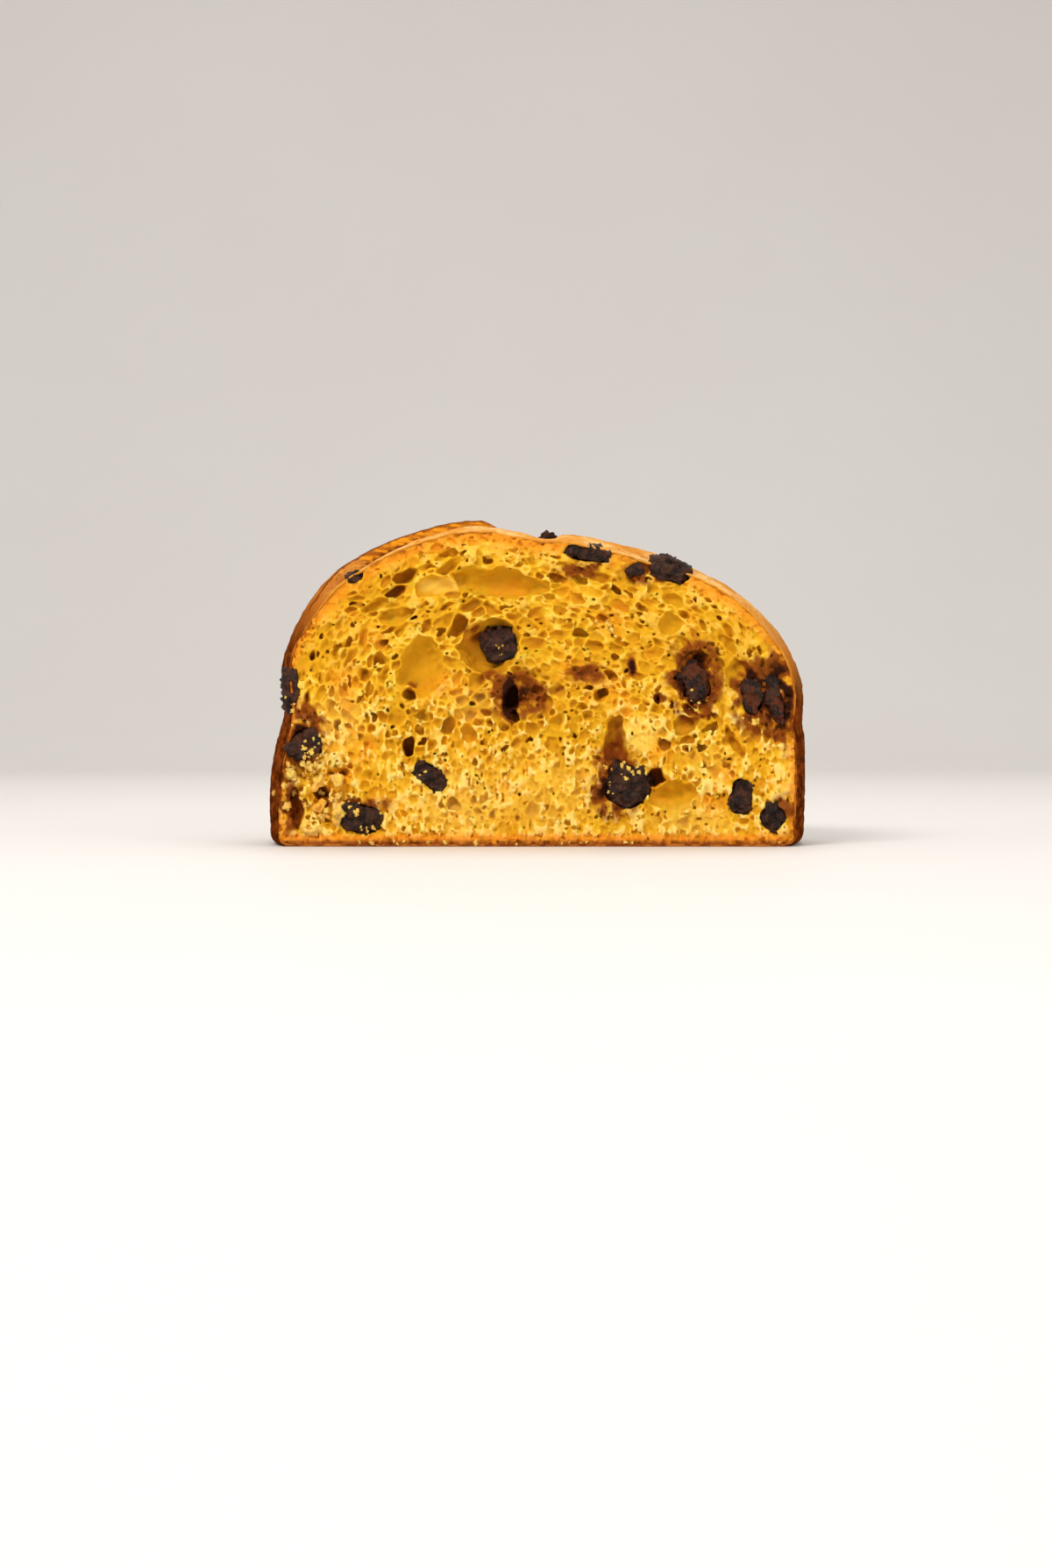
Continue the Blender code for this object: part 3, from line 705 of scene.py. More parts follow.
def crust_material():
    material, tree, shader = new_material("crust", Specular_IOR_Level=0.0)
    height, behind, leftness, rim = attributes(tree, "height", "behind", "leftness", "rim")
    split, brow, groove = attributes(tree, "split", "brow", "groove")
    broad, fine = noise_of(tree, 0.018), noise_of(tree, 0.0026, 5.0, 0.65)
    patches = noise_of(tree, 0.007, 4.0, 0.6)
    streaks = noise_of(tree, 0.0090, 5.0, 0.65, (1.0, 1.0, 2.2))
    fibres = noise_of(tree, 0.0026, 4.0, 0.65, (0.30, 1.0, 1.8))
    baked = weighted(tree, (patches, 0.9), (leftness, 0.42), (between(tree, behind, 0.004, 0.022), 0.16))
    uneven_height = weighted(tree, (height, 1.0), (streaks, 0.020), (broad, 0.030), (leftness, -0.022))
    on_wall = between(tree, uneven_height, 0.108, 0.078)
    # The dome's base tan is partly a painted sheen
    dome = layered(
        tree,
        DOME_TAN_AND_SHEEN,
        (broad, 0.40, 0.60, 1.0, DOME_ORANGE),
        (baked, 0.50, 0.92, 1.0, DOME_RUST),
        (baked, 0.82, 1.15, 1.0, DOME_BROWN),
        (fine, 0.52, 0.72, 0.75, DOME_BROWN),
        (uneven_height, 0.128, 0.096, 0.8, DOME_RUST),
    )
    wall = layered(tree, WALL_BROWN, (streaks, 0.35, 0.60, 1.0, WALL_DARK))
    wall = layered(tree, wall, (fine, 0.50, 0.72, 0.42, WALL_TAN))
    torn = layered(tree, TOAST_ORANGE, (fibres, 0.40, 0.60, 1.0, TORN_BROWN))
    dome_edge = layered(tree, RIM_GOLD, (patches, 0.40, 0.60, 1.0, RIM_ORANGE))
    wall_edge = layered(tree, WALL_TAN, (patches, 0.42, 0.60, 1.0, WALL_BROWN))
    colour = layered(
        tree,
        mixed(tree, on_wall, dome, wall),
        (split, 0.2, 0.7, 1.0, torn),
        (brow, 0.2, 0.7, 0.9, DOME_BROWN),
        # Painted shade in the groove at the lip's foot
        (groove, 0.2, 0.8, 0.9, GROOVE_SHADE_BROWN),
        (rim, 0.3, 0.9, 0.9, mixed(tree, on_wall, dome_edge, wall_edge)),
    )
    tree.links.new(between(tree, fine, 0.3, 0.8, 0.55, 0.75), shader.inputs["Roughness"])
    finish(tree, shader, colour, fine, 0.0012)
    return material


def chocolate_material():
    material, tree, shader = new_material("chocolate", Specular_IOR_Level=0.24)
    fine = noise_of(tree, 0.0010, 5.0, 0.7)
    (melted,) = attributes(tree, "melted")
    colour = layered(
        tree,
        CHOCOLATE_DARK,
        (noise_of(tree, 0.0040), 0.40, 0.62, 1.0, CHOCOLATE_BROWN),
        (noise_of(tree, 0.0032), 0.52, 0.70, 0.8, CHOCOLATE_RED),
        # Painted highlights on the tops of the fine lumps, which the bump raises
        (fine, 0.56, 0.74, 0.6, CHOCOLATE_HIGHLIGHT),
        (melted, 0.30, 1.0, 0.8, CHOCOLATE_MELTED),
    )
    tree.links.new(between(tree, noise_of(tree, 0.0024), 0.35, 0.65, 0.20, 0.62), shader.inputs["Roughness"])
    finish(tree, shader, colour, fine, 0.0008)
    return material


def crumbs_material():
    material, tree, shader = new_material(
        "loose_crumbs",
        Roughness=0.6,
        Specular_IOR_Level=0.06,
        Subsurface_Weight=0.4,
        Subsurface_Radius=(1.0, 0.46, 0.10),
        Subsurface_Scale=0.0012,
    )
    colour = layered(
        tree,
        LOOSE_CREAM,
        (noise_of(tree, 0.004), 0.45, 0.65, 1.0, CRUMB_PALE),
        (noise_of(tree, 0.009), 0.50, 0.68, 0.8, TOAST_ORANGE),
        (noise_of(tree, 0.0007), 0.50, 0.70, 0.6, CRUMB_GOLD),
    )
    finish(tree, shader, colour, noise_of(tree, 0.0006), 0.0004, 0.8)
    return material


def floor_material():
    material, tree, shader = new_material("floor", Roughness=0.55, Specular_IOR_Level=0.3)
    colour = layered(tree, FLOOR_PALE, (noise_of(tree, 0.35), 0.3, 0.7, 0.25, FLOOR_PALER))
    tree.links.new(colour, shader.inputs["Base Color"])
    return material


def loaf_profile():
    """The turned outline at +X, from the crown down the outside to the middle of the base."""
    points = [(0, WALL_HEIGHT + DOME_RISE)]
    for i in range(1, DOME_STEPS + 1):
        angle = math.pi / 2 * (1 - i / DOME_STEPS)
        points.append((LOAF_RADIUS * math.cos(angle), WALL_HEIGHT + DOME_RISE * math.sin(angle)))
    points.append((LOAF_RADIUS, BASE_CORNER))
    for i in range(1, CORNER_STEPS + 1):
        angle = math.pi / 2 * i / CORNER_STEPS
        across = LOAF_RADIUS - BASE_CORNER * (1 - math.cos(angle))
        points.append((across, BASE_CORNER * (1 - math.sin(angle))))
    points.append((0, 0))
    return points


def on_turned_form(point):
    """The nearest place of the exact dome or wall to a point of its mesh."""
    if point.z > WALL_HEIGHT:
        up = point.z - WALL_HEIGHT
        off = math.sqrt((point.x**2 + point.y**2) / LOAF_RADIUS**2 + up**2 / DOME_RISE**2)
        return Vector((point.x / off, point.y / off, WALL_HEIGHT + up / off))
    if point.z > BASE_CORNER:
        off = math.hypot(point.x, point.y) / LOAF_RADIUS
        return Vector((point.x / off, point.y / off, point.z))
    return point


def whole_crust():
    """The outside of the whole loaf, before it was cut, with its relief."""
    profile = loaf_profile()
    mesh = bpy.data.meshes.new("profile")
    mesh.from_pydata([(r, 0, z) for r, z in profile], [(i, i + 1) for i in range(len(profile) - 1)], [])
    loaf = new_object("whole", mesh)
    turn = loaf.modifiers.new("turn", "SCREW")
    turn.steps = turn.render_steps = TURN_STEPS
    turn.use_merge_vertices = True
    turn.merge_threshold = 0.0001
    mesh = remeshed(loaf, CRUST_MESH)
    split, brow, groove = (np.zeros(len(mesh.vertices)) for _ in range(3))
    on_lips = []
    for i, vertex in enumerate(mesh.vertices):
        if vertex.co.z < FLAT_BELOW:
            vertex.co.z = 0
            continue
        point = on_turned_form(vertex.co)
        relief, lip, outside = crust_relief(point)
        squeezed = Vector((point.x, point.y, point.z * WRINKLE_SQUEEZE))
        relief += WRINKLE_HEIGHT * noise.noise(squeezed / WRINKLE_PITCH)
        relief += PORE_HEIGHT * noise.noise(point / PORE_PITCH)
        share = smooth(0, BASE_CORNER * 2, point.z)
        vertex.co = point + outward(point) * relief * share
        shows = smooth(*LIP_SHOWS, lip)
        tall = shows * smooth(*SPLIT_FADE, point.x)
        split[i] = tall * smooth(*SPLIT_FACE, outside)
        brow[i] = shows * smooth(*BROW_ABOVE, outside) * smooth(*BROW_BELOW, outside)
        groove[i] = tall * smooth(*GROOVE_FOOT, outside)
        if abs(outside) < LIP_STEP and point.z > WALL_HEIGHT + DOME_RISE / 4:
            on_lips.append(i)
    for name, values in (("split", split), ("brow", brow), ("groove", groove)):
        set_attribute(mesh, name, values)
    return evened(mesh, on_lips)


def evened(mesh, numbers):
    """Smooths a mesh at the vertices with those numbers."""
    shape = bmesh.new()
    shape.from_mesh(mesh)
    shape.verts.ensure_lookup_table()
    marked = [shape.verts[i] for i in numbers]
    for _ in range(LIP_SMOOTHINGS):
        bmesh.ops.smooth_vert(
            shape, verts=marked, factor=0.5, use_axis_x=True, use_axis_y=True, use_axis_z=True
        )
    shape.to_mesh(mesh)
    shape.free()
    return mesh


def of_kind(items, kind):
    """The parts of a bmesh among items that are vertices, edges or faces, as kind says."""
    return [item for item in items if isinstance(item, kind)]


def crust_piece(mesh):
    """The crust behind the cut: the whole crust without its front, with a rim as thick as the crust."""
    shape = bmesh.new()
    shape.from_mesh(mesh)
    layers = [shape.verts.layers.float.new(name) for name in ("rim", "height", "behind", "leftness")]
    rim, height, behind, leftness = layers
    cut = bmesh.ops.bisect_plane(
        shape,
        geom=[*shape.verts, *shape.edges, *shape.faces],
        plane_co=(0, -CUT_SETBACK, 0),
        plane_no=(0, 1, 0),
        clear_inner=True,
    )
    edge = of_kind(cut["geom_cut"], bmesh.types.BMEdge)
    for vertex in {v for e in edge for v in e.verts}:
        vertex.co.y += knife_path(vertex.co.x, vertex.co.z) + RIM_BEHIND
    shape.normal_update()
    for inset, back in RIM_ROWS:
        grown = bmesh.ops.extrude_edge_only(shape, edges=edge)["geom"]
        for vertex in of_kind(grown, bmesh.types.BMVert):
            aim = Vector((0, vertex.co.y, min(max(vertex.co.z, RIM_LOWEST_AIM), WALL_HEIGHT)))
            inward = (aim - vertex.co).normalized() if vertex.co.z > BASE_CORNER else Vector((0, 0, 1))
            vertex.co += inward * inset + Vector((0, back, 0))
            vertex[rim] = 1
        edge = of_kind(grown, bmesh.types.BMEdge)
    for vertex in shape.verts:
        vertex[height] = vertex.co.z
        vertex[behind] = vertex.co.y + CUT_SETBACK
        vertex[leftness] = smooth(*LEFT_FADE, vertex.co.x)
        vertex.co.y += AXIS_Y
    return new_object("crust", made_mesh(shape, "crust"))


def axis_points(low, high, step):
    """Places along an axis, evenly spaced."""
    return (low + step * np.arange(int(round((high - low) / step)) + 1)).astype(np.float32)


def stretched(coarse, at, soft=False):
    """A coarse array read in between its samples: at gives, for each axis, where to read it. A soft
    reading is through cubic splines, so that no edges of the coarse array show."""
    before, after = (1, 3) if soft else (0, 2)
    for axis, place in enumerate(at):
        low = np.clip(place.astype(int), before, coarse.shape[axis] - after)
        t = (place - low).astype(np.float32)
        weights = [1 - t, t]
        if soft:
            bends = ((1 - t) ** 3, 3 * t**3 - 6 * t**2 + 4, -3 * t**3 + 3 * t**2 + 3 * t + 1, t**3)
            weights = [bend / 6 for bend in bends]
        form = [-1 if i == axis else 1 for i in range(coarse.ndim)]
        coarse = sum(coarse.take(low + i - before, axis) * w.reshape(form) for i, w in enumerate(weights))
    return coarse


def outside_of(mesh, axes, samples, moved):
    """How far each point of a grid is outside a mesh, read between coarse samples. moved says where in
    the mesh's frame a sample is."""
    tree = BVHTree.FromPolygons([v.co for v in mesh.vertices], [p.vertices for p in mesh.polygons])
    steps = [axis_points(axis[0], axis[-1] + samples, samples) for axis in axes]
    coarse = np.empty([len(step) for step in steps], np.float32)
    for i, x in enumerate(steps[0]):
        for j, y in enumerate(steps[1]):
            for k, z in enumerate(steps[2]):
                point = Vector(moved(x, y, z))
                near, normal, _, distance = tree.find_nearest(point)
                coarse[i, j, k] = -distance if (point - near).dot(normal) < 0 else distance
    return stretched(coarse, [(axis - step[0]) / samples for axis, step in zip(axes, steps)])


class Crumb:
    """The field of the crumb behind the cut, on a grid in the loaf's own frame."""

    def __init__(self, crust):
        reach = LOAF_RADIUS + 0.001
        self.x = axis_points(-reach, reach, VOXEL)
        self.y = axis_points(-CUT_SETBACK - CRUMB_FRONT, -CUT_SETBACK + CRUMB_DEPTH, VOXEL)
        self.z = axis_points(-0.001, WALL_HEIGHT + DOME_RISE + 0.002, VOXEL)
        self.low = np.array([self.x[0], self.y[0], self.z[0]], np.float32)
        self.shape = (len(self.x), len(self.y), len(self.z))
        self.random = np.random.default_rng(SEED)
        self.inside = -outside_of(crust, (self.x, self.y, self.z), CRUST_SAMPLES, lambda *place: place)
        self.slope_x, self.slope_z = self.crust_slope()
        self.face = self.cut_face()
        self.near = np.full(self.shape, 0.01, np.float32)
        self.second = np.full(self.shape, 0.01, np.float32)
        self.lining_shade = np.zeros(self.shape, np.float32)
        self.warped = [
            axis.reshape([-1 if i == k else 1 for i in range(3)]) + sum(self.noise(*warp) for warp in WARPS)
            for k, axis in enumerate((self.x, self.y, self.z))
        ]

    def noise(self, pitch, height):
        """Soft random lumps of about that pitch, for all axes or for each, up to about that height."""
        pitches = pitch if isinstance(pitch, tuple) else (pitch,) * 3
        at = [1 + np.arange(n, dtype=np.float32) * VOXEL / p * 2 for n, p in zip(self.shape, pitches)]
        coarse = self.random.normal(0, 1.6, [int(a[-1]) + 4 for a in at]).astype(np.float32)
        return stretched(coarse, at, soft=True) * height

    def crust_slope(self):
        """The direction away from the crust, across and up, for each place in the face."""
        flat = self.inside[:, self.shape[1] // 2, :]
        across, up = np.gradient(flat)
        size = np.maximum(np.hypot(across, up), 1e-9)
        return across / size, up / size

    def cut_face(self):
        """How far back the cut lies, for each place in the face."""
        step = 3
        coarse = np.array([[knife_path(x, z) for z in self.z[::step]] for x in self.x[::step]], np.float32)
        at = [np.arange(n) / step for n in (self.shape[0], self.shape[2])]
        coarse = np.pad(coarse, 1, mode="edge")[1:, 1:]
        return stretched(coarse, at) - CUT_SETBACK

    def index(self, place):
        return tuple(int(i) for i in np.round((np.asarray(place) - self.low) / VOXEL))

    def box(self, place, reach):
        low = np.maximum(np.floor((np.asarray(place) - reach - self.low) / VOXEL).astype(int), 0)
        high = np.minimum(np.ceil((np.asarray(place) + reach - self.low) / VOXEL).astype(int) + 1, self.shape)
        return tuple(slice(a, b) for a, b in zip(low, high))

    def blow(self, place, radii, tilt, lining_shade):
        """Blows one bubble: radii are across, deep and up, and tilt turns it in the face."""
        at = self.box(place, max(radii) + NEIGHBOUR_REACH)
        dx, dy, dz = (w[at] - c for w, c in zip(self.warped, place))
        cos, sin = math.cos(tilt), math.sin(tilt)
        across = (dx * cos + dz * sin) / radii[0]
        up = (dz * cos - dx * sin) / radii[2]
        deep = dy / radii[1]
        scale = (radii[0] * radii[1] * radii[2]) ** (1 / 3)
        distance = (np.sqrt(across * across + up * up + deep * deep) - 1) * scale
        near, second = self.near[at], self.second[at]
        closer = distance < near
        self.second[at] = np.where(closer, near, np.minimum(second, distance))
        self.near[at] = np.where(closer, distance, near)
        # Each place keeps the painted shade of its nearest bubble's lining
        self.lining_shade[at] = np.where(closer, lining_shade, self.lining_shade[at])

    def blow_named(self):
        for bubble in (*BUBBLES.values(), *SMALL_BUBBLES.values()):
            across, up, half_width, half_height, deep, tilt, painted_shade = bubble
            place = (across, -CUT_SETBACK, up)
            self.blow(place, (half_width, deep, half_height), math.radians(tilt), painted_shade)

    def cell_size(self, x, z, inside):
        """The mean radius of the cells at a place, and how much wider than high they are."""
        high, low = smooth(0.060, 0.090, z), smooth(0.055, 0.020, z)
        upper_right = smooth(0.0, 0.06, x) * smooth(0.04, 0.07, z)
        clear_of_crust = smooth(0.001, 0.012, inside)
        patchy = noise.noise(Vector((x, 7, z)) / CELL_PATCH_PITCH)
        size = 1.0 + 0.10 * high - 0.26 * low
        size *= 1 - 0.12 * upper_right
        size *= 0.50 + 0.50 * clear_of_crust
        size *= 1 + 0.55 * patchy
        near_crust = smooth(0.060, 0.020, inside) * smooth(0.03, 0.07, z)
        under_crust = smooth(0.020, 0.004, inside) * smooth(0.02, 0.07, z)
        drawn_up = smooth(0.060, 0.045, z) * smooth(0.005, 0.014, z) * smooth(0.09, 0.06, abs(x))
        wide = 1.20 + 1.05 * near_crust + 0.60 * under_crust - 0.42 * drawn_up
        return CELL_RADIUS * size, wide

    def blow_cells(self):
        low, high = self.low, np.array([self.x[-1], self.y[-1], self.z[-1]])
        for share, tries in CELL_CLASSES:
            places = self.random.uniform(low, high, (tries, 3))
            spread = self.random.uniform(*CELL_VARIES, tries)
            turns = self.random.normal(0, CELL_TURN, tries)
            lining_shades = self.random.uniform(0, MOST_LINING_SHADE, tries) ** 2
            fronts = self.random.uniform(0, 1, tries)
            offsets = self.random.uniform(*FRONT_CELLS, tries)
            for cell in zip(places, spread, turns, lining_shades, fronts < FRONT_SHARE, offsets):
                self.blow_cell(share, *cell)

    def blow_cell(self, share, place, vary, turn, lining_shade, in_front, offset):
        """Blows one cell where there is still room for it."""
        i, j, k = self.index(place)
        if in_front:
            place[1] = self.face[i, k] + offset
            i, j, k = self.index(place)
        inside = self.inside[i, j, k]
        if inside < NO_CELLS_WITHIN:
            return
        mean, wide = self.cell_size(place[0], place[2], inside)
        radius = mean * share * vary
        if self.near[i, j, k] < radius * (1 - CELL_OVERLAP) or inside < radius * 0.8 + CELL_TO_CRUST:
            return
        tilt = math.atan2(-self.slope_x[i, k], self.slope_z[i, k])
        if abs(tilt) > math.pi / 2:
            tilt -= math.copysign(math.pi, tilt)
        root = math.sqrt(wide)
        radii = (radius * root, radius * CELL_FLATNESS, radius / root)
        # The lining's painted shade: every cell's share, plus its random share as far as the cell is large
        # enough
        dark = CELL_LINING_SHADE + (1 - CELL_LINING_SHADE) * lining_shade * smooth(PALE_CELL, DARK_CELL, radius)
        self.blow(place, radii, tilt * CELL_SLANT * smooth(*SLANT_FADE, inside) + turn, dark)

    def solid(self):
        """Below 0 in the crumb, above 0 in its bubbles and outside."""
        behind = self.y[None, :, None] - self.face[:, None, :]
        across, up = self.x[:, None, None], self.z[None, None, :]
        wall = CELL_WALL + self.noise(WALL_CHANGE_PITCH, WALL_CHANGE)
        wall = wall + DEEP_WALL * smooth(*DEEP_WALL_STARTS, behind)
        walls = np.maximum(self.near - CELL_GROWTH, wall - (self.second - self.near))
        walls += self.noise(FRAY_PITCH, FRAY_HEIGHT)
        fluffy = smooth(STRANDS_BELOW, STRANDS_BELOW * 0.7, up)
        walls += self.noise(STRAND_PITCHES, STRAND_HEIGHT) * fluffy
        off = np.hypot((across - BLOTCH[0]) / BLOTCH[2], (up - BLOTCH[1]) / BLOTCH[3])
        walls += np.clip(BLOTCH_EDGE - off, 0, 1) * BLOTCH_CLOSES
        walls += smooth(CRUMB_DEPTH - CRUMB_CLOSES, CRUMB_DEPTH - CRUMB_CLOSES / 4, behind) * CLOSING
        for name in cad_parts:
            if name.startswith("chocolate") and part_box(name)[0].y < CUT_Y + SEAT_REACH:
                self.seat(name, walls)
        frayed = behind
        for pitch, height in TEAR_HEIGHTS:
            frayed = frayed - self.noise(pitch, height)
        frayed = frayed - self.noise(STRAND_PITCHES, STRAND_TEAR) * fluffy
        torn = np.exp(-(((across - TORN_CENTRE[0]) ** 2 + (up - TORN_CENTRE[1]) ** 2) / TORN_REACH**2))
        for pitch, height in TORN_LUMPS:
            frayed = frayed - self.noise(pitch, height) * torn
        field = np.maximum(np.maximum(-walls, -frayed), CRUST_THICKNESS * 0.5 - self.inside)
        for axis in range(3):
            whole = np.moveaxis(field, axis, 0)
            whole[1:-1] = (whole[:-2] + whole[1:-1] * 4 + whole[2:]) / 6
        return field

    def seat(self, name, walls):
        """Opens the crumb where a chocolate piece sits, and in front of it."""
        low, high = (np.array(corner) - (0, AXIS_Y, 0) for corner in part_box(name))
        at = self.box((low + high) / 2, (high - low) / 2 + SEAT_MARGIN)
        axes = [axis[part] for axis, part in zip((self.x, self.y, self.z), at)]
        distance = outside_of(
            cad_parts[name].data,
            axes,
            SEAT_SAMPLES,
            lambda x, y, z: (x, max(y, -CUT_SETBACK + SEAT_FRONT) + AXIS_Y, z),
        )
        walls[at] = np.minimum(walls[at], distance + SEAT_OVERLAP)

    def face_at(self, points):
        """How far back the cut lies in front of each point."""
        index = np.round((points[:, [0, 2]] - self.low[[0, 2]]) / VOXEL).astype(int)
        return self.face[tuple(np.clip(index, 0, np.array(self.face.shape) - 1).T)]

    def sample(self, field, points):
        """A field's value at points in the loaf's own frame."""
        index = np.clip(np.round((points - self.low) / VOXEL).astype(int), 0, np.array(self.shape) - 1)
        return field[tuple(index.T)]


def shifted(flat, across, up):
    """A flat array of places moved by whole places, with nothing where it came from."""
    moved = np.zeros_like(flat)
    wide, high = flat.shape
    moved[max(across, 0) : wide + min(across, 0), max(up, 0) : high + min(up, 0)] = flat[
        max(-across, 0) : wide + min(-across, 0), max(-up, 0) : high + min(-up, 0)
    ]
    return moved


def seen_from_front(opened):
    """The open places with a clear straight line to the front of the grid."""
    ways = [(0.0, 0.0)]
    for slant in SIGHT_SLANTS:
        for i in range(SIGHT_WAYS):
            angle = 2 * math.pi * (i + slant) / SIGHT_WAYS
            ways.append((slant * math.cos(angle), slant * math.sin(angle)))
    seen = np.zeros_like(opened)
    for across, up in ways:
        front = opened[:, 0, :].copy()
        for j in range(1, opened.shape[1]):
            step = [int(round(j * way)) - int(round((j - 1) * way)) for way in (across, up)]
            front = shifted(front, *step) & opened[:, j, :]
            seen[:, j, :] |= front
    seen[:, 0, :] = opened[:, 0, :]
    for _ in range(SIGHT_GROWTH):
        for axis in range(3):
            whole, before = np.moveaxis(seen, axis, 0), np.moveaxis(seen.copy(), axis, 0)
            whole[1:] |= before[:-1]
            whole[:-1] |= before[1:]
    return seen & opened


def surface_net(field, low, step):
    """Points and four-cornered faces of the surface where a field changes sign, as far as it can be seen."""
    inside = field < 0
    seen = seen_from_front(~inside)
    corners = [(i, j, k) for i in (0, 1) for j in (0, 1) for k in (0, 1)]
    cells = tuple(n - 1 for n in field.shape)

    def corner(array, c):
        return array[c[0] : c[0] + cells[0], c[1] : c[1] + cells[1], c[2] : c[2] + cells[2]]

    count = np.zeros(cells, np.uint8)
    for c in corners:
        count += corner(inside, c)
    mixed_cells = np.argwhere((count > 0) & (count < 8))
    number = np.full(cells, -1, np.int32)
    number[tuple(mixed_cells.T)] = np.arange(len(mixed_cells), dtype=np.int32)
    values = {c: field[tuple((mixed_cells + c).T)] for c in corners}
    total = np.zeros((len(mixed_cells), 3), np.float32)
    crossings = np.zeros(len(mixed_cells), np.float32)
    for a in corners:
        for axis in range(3):
            if a[axis]:
                continue
            b = tuple(1 if i == axis else c for i, c in enumerate(a))
            crossed = (values[a] < 0) != (values[b] < 0)
            share = values[a][crossed] / (values[a][crossed] - values[b][crossed])
            place = np.tile(np.array(a, np.float32), (len(share), 1))
            place[:, axis] = share
            total[crossed] += place
            crossings[crossed] += 1
    points = (mixed_cells + total / crossings[:, None]) * step + low
    faces = []
    for axis in range(3):
        others = [i for i in range(3) if i != axis]
        first = [slice(1, -1)] * 3
        first[axis] = slice(0, -1)
        ahead = [slice(1, -1)] * 3
        ahead[axis] = slice(1, None)
        a, b = inside[tuple(first)], inside[tuple(ahead)]
        for flipped in (False, True):
            places = np.argwhere((a & seen[tuple(ahead)]) if flipped else (seen[tuple(first)] & b))
            places[:, others] += 1
            ring = []
            for shift in ((0, 0), (1, 0), (1, 1), (0, 1)):
                around = places.copy()
                around[:, others[0]] -= shift[0]
                around[:, others[1]] -= shift[1]
                ring.append(number[tuple(around.T)])
            quads = np.stack(ring, 1)
            faces.append(quads if flipped != (axis == 1) else quads[:, ::-1])
    return points.astype(np.float32), np.concatenate(faces)


def stain_and_shadow_at(x, z):
    """How brown melted chocolate has made the crumb at places in the face, with a few painted shadows."""
    stain_and_shadow = np.zeros_like(x)
    for across, up, half_width, half_height, strength in STAINS_AND_SHADOWS:
        off = ((x - across) / half_width) ** 2 + ((z - up) / half_height) ** 2
        stain_and_shadow = np.maximum(stain_and_shadow, strength * np.exp(-off * 0.9))
    return stain_and_shadow


def crumb_surface(crumb):
    """The crumb's whole surface, thinned to its share of triangles. Its faces are triangles."""
    points, faces = surface_net(crumb.solid(), crumb.low, VOXEL)
    inside = crumb.sample(crumb.inside, points)
    depth = points[:, 1] - crumb.face_at(points)
    hidden = (inside < CRUST_THICKNESS * 0.7) & (depth > HIDDEN_DEPTH)
    faces = faces[~hidden[faces].all(axis=1)]
    surface = new_object("surface", mesh_of("surface", points, faces))
    thin = surface.modifiers.new("thin", "DECIMATE")
    thin.ratio = min(1.0, CRUMB_TRIANGLES / (len(faces) * 2))
    mesh = evaluated_mesh(surface)
    mesh.calc_loop_triangles()
    corners = np.empty(len(mesh.loop_triangles) * 3, np.int32)
    mesh.loop_triangles.foreach_get("vertices", corners)
    return points_of(mesh), corners.reshape(-1, 3)


def crumb_shades(crumb, points):
    """What the crumb's colours depend on, for each of its points."""
    inside = crumb.sample(crumb.inside, points)
    depth = points[:, 1] - crumb.face_at(points)
    x, z = points[:, 0], points[:, 2]
    patchy = crumb.sample(crumb.noise(*PATCHY), points)
    broken = crumb.sample(crumb.noise(*BROKEN), points) + patchy * 0.8
    stain_and_shadow = stain_and_shadow_at(x, z)
    cells = crumb.sample(crumb.lining_shade, points)
    stain_and_shadow *= 1 + (np.clip(broken, -1, 0.5) + cells * 0.5 - 0.15) * smooth(1.4, 1.0, stain_and_shadow)
    reach = TOAST_REACH + DOME_TOAST * smooth(0.075, 0.105, z) + BASE_TOAST * smooth(0.012, 0.004, z)
    toast = np.exp(-inside / reach) * (0.85 + 0.5 * patchy)
    band = smooth(BASE_BAND * 1.4, BASE_BAND * 0.2, z + patchy * 0.0016)
    toast = np.maximum(toast, band * (1.0 + 0.3 * patchy))
    pale = np.zeros_like(x)
    for across, up, half_width, half_height, strength in PALE_PATCHES:
        off = np.hypot((x - across) / half_width, (z - up) / half_height) + broken * 0.25
        pale = np.maximum(pale, strength * smooth(1.3, 0.5, off))
    fluffy = smooth(STRANDS_BELOW * 1.15, STRANDS_BELOW * 0.75, z + broken * 0.006)
    # A painted highlight on the front, stronger in the fluffy lower half
    cream_highlight = smooth(CREAM_HIGHLIGHT_DEPTH, -CREAM_HIGHLIGHT_DEPTH, depth - 0.0006 * patchy) * (0.30 + 0.70 * fluffy)
    depth = np.clip(depth / CRUMB_DARKEST, 0, 1)
    return {"cream_highlight": cream_highlight, "depth": depth, "toast": toast, "lining_shade": cells, "stain_and_shadow": stain_and_shadow, "pale": pale}


def crumb_pieces(crumb, material):
    """The crumb in bands from left to right."""
    points, faces = crumb_surface(crumb)
    shades = crumb_shades(crumb, points)
    middles = points[faces].mean(axis=1)[:, 0]
    limits = np.quantile(middles, np.linspace(0, 1, CRUMB_BANDS + 1))
    band_of = np.clip(np.searchsorted(limits, middles, side="right") - 1, 0, CRUMB_BANDS - 1)
    for band in range(CRUMB_BANDS):
        used, numbers = np.unique(faces[band_of == band], return_inverse=True)
        placed = points[used] + np.array([0, AXIS_Y, 0], np.float32)
        mesh = mesh_of(f"crumb_{band + 1}", placed, numbers.reshape(-1, 3))
        mesh.validate()
        for name, values in shades.items():
            set_attribute(mesh, name, values[used])
        dress(new_object(mesh.name, mesh), material, "baked_crust", "loaf")


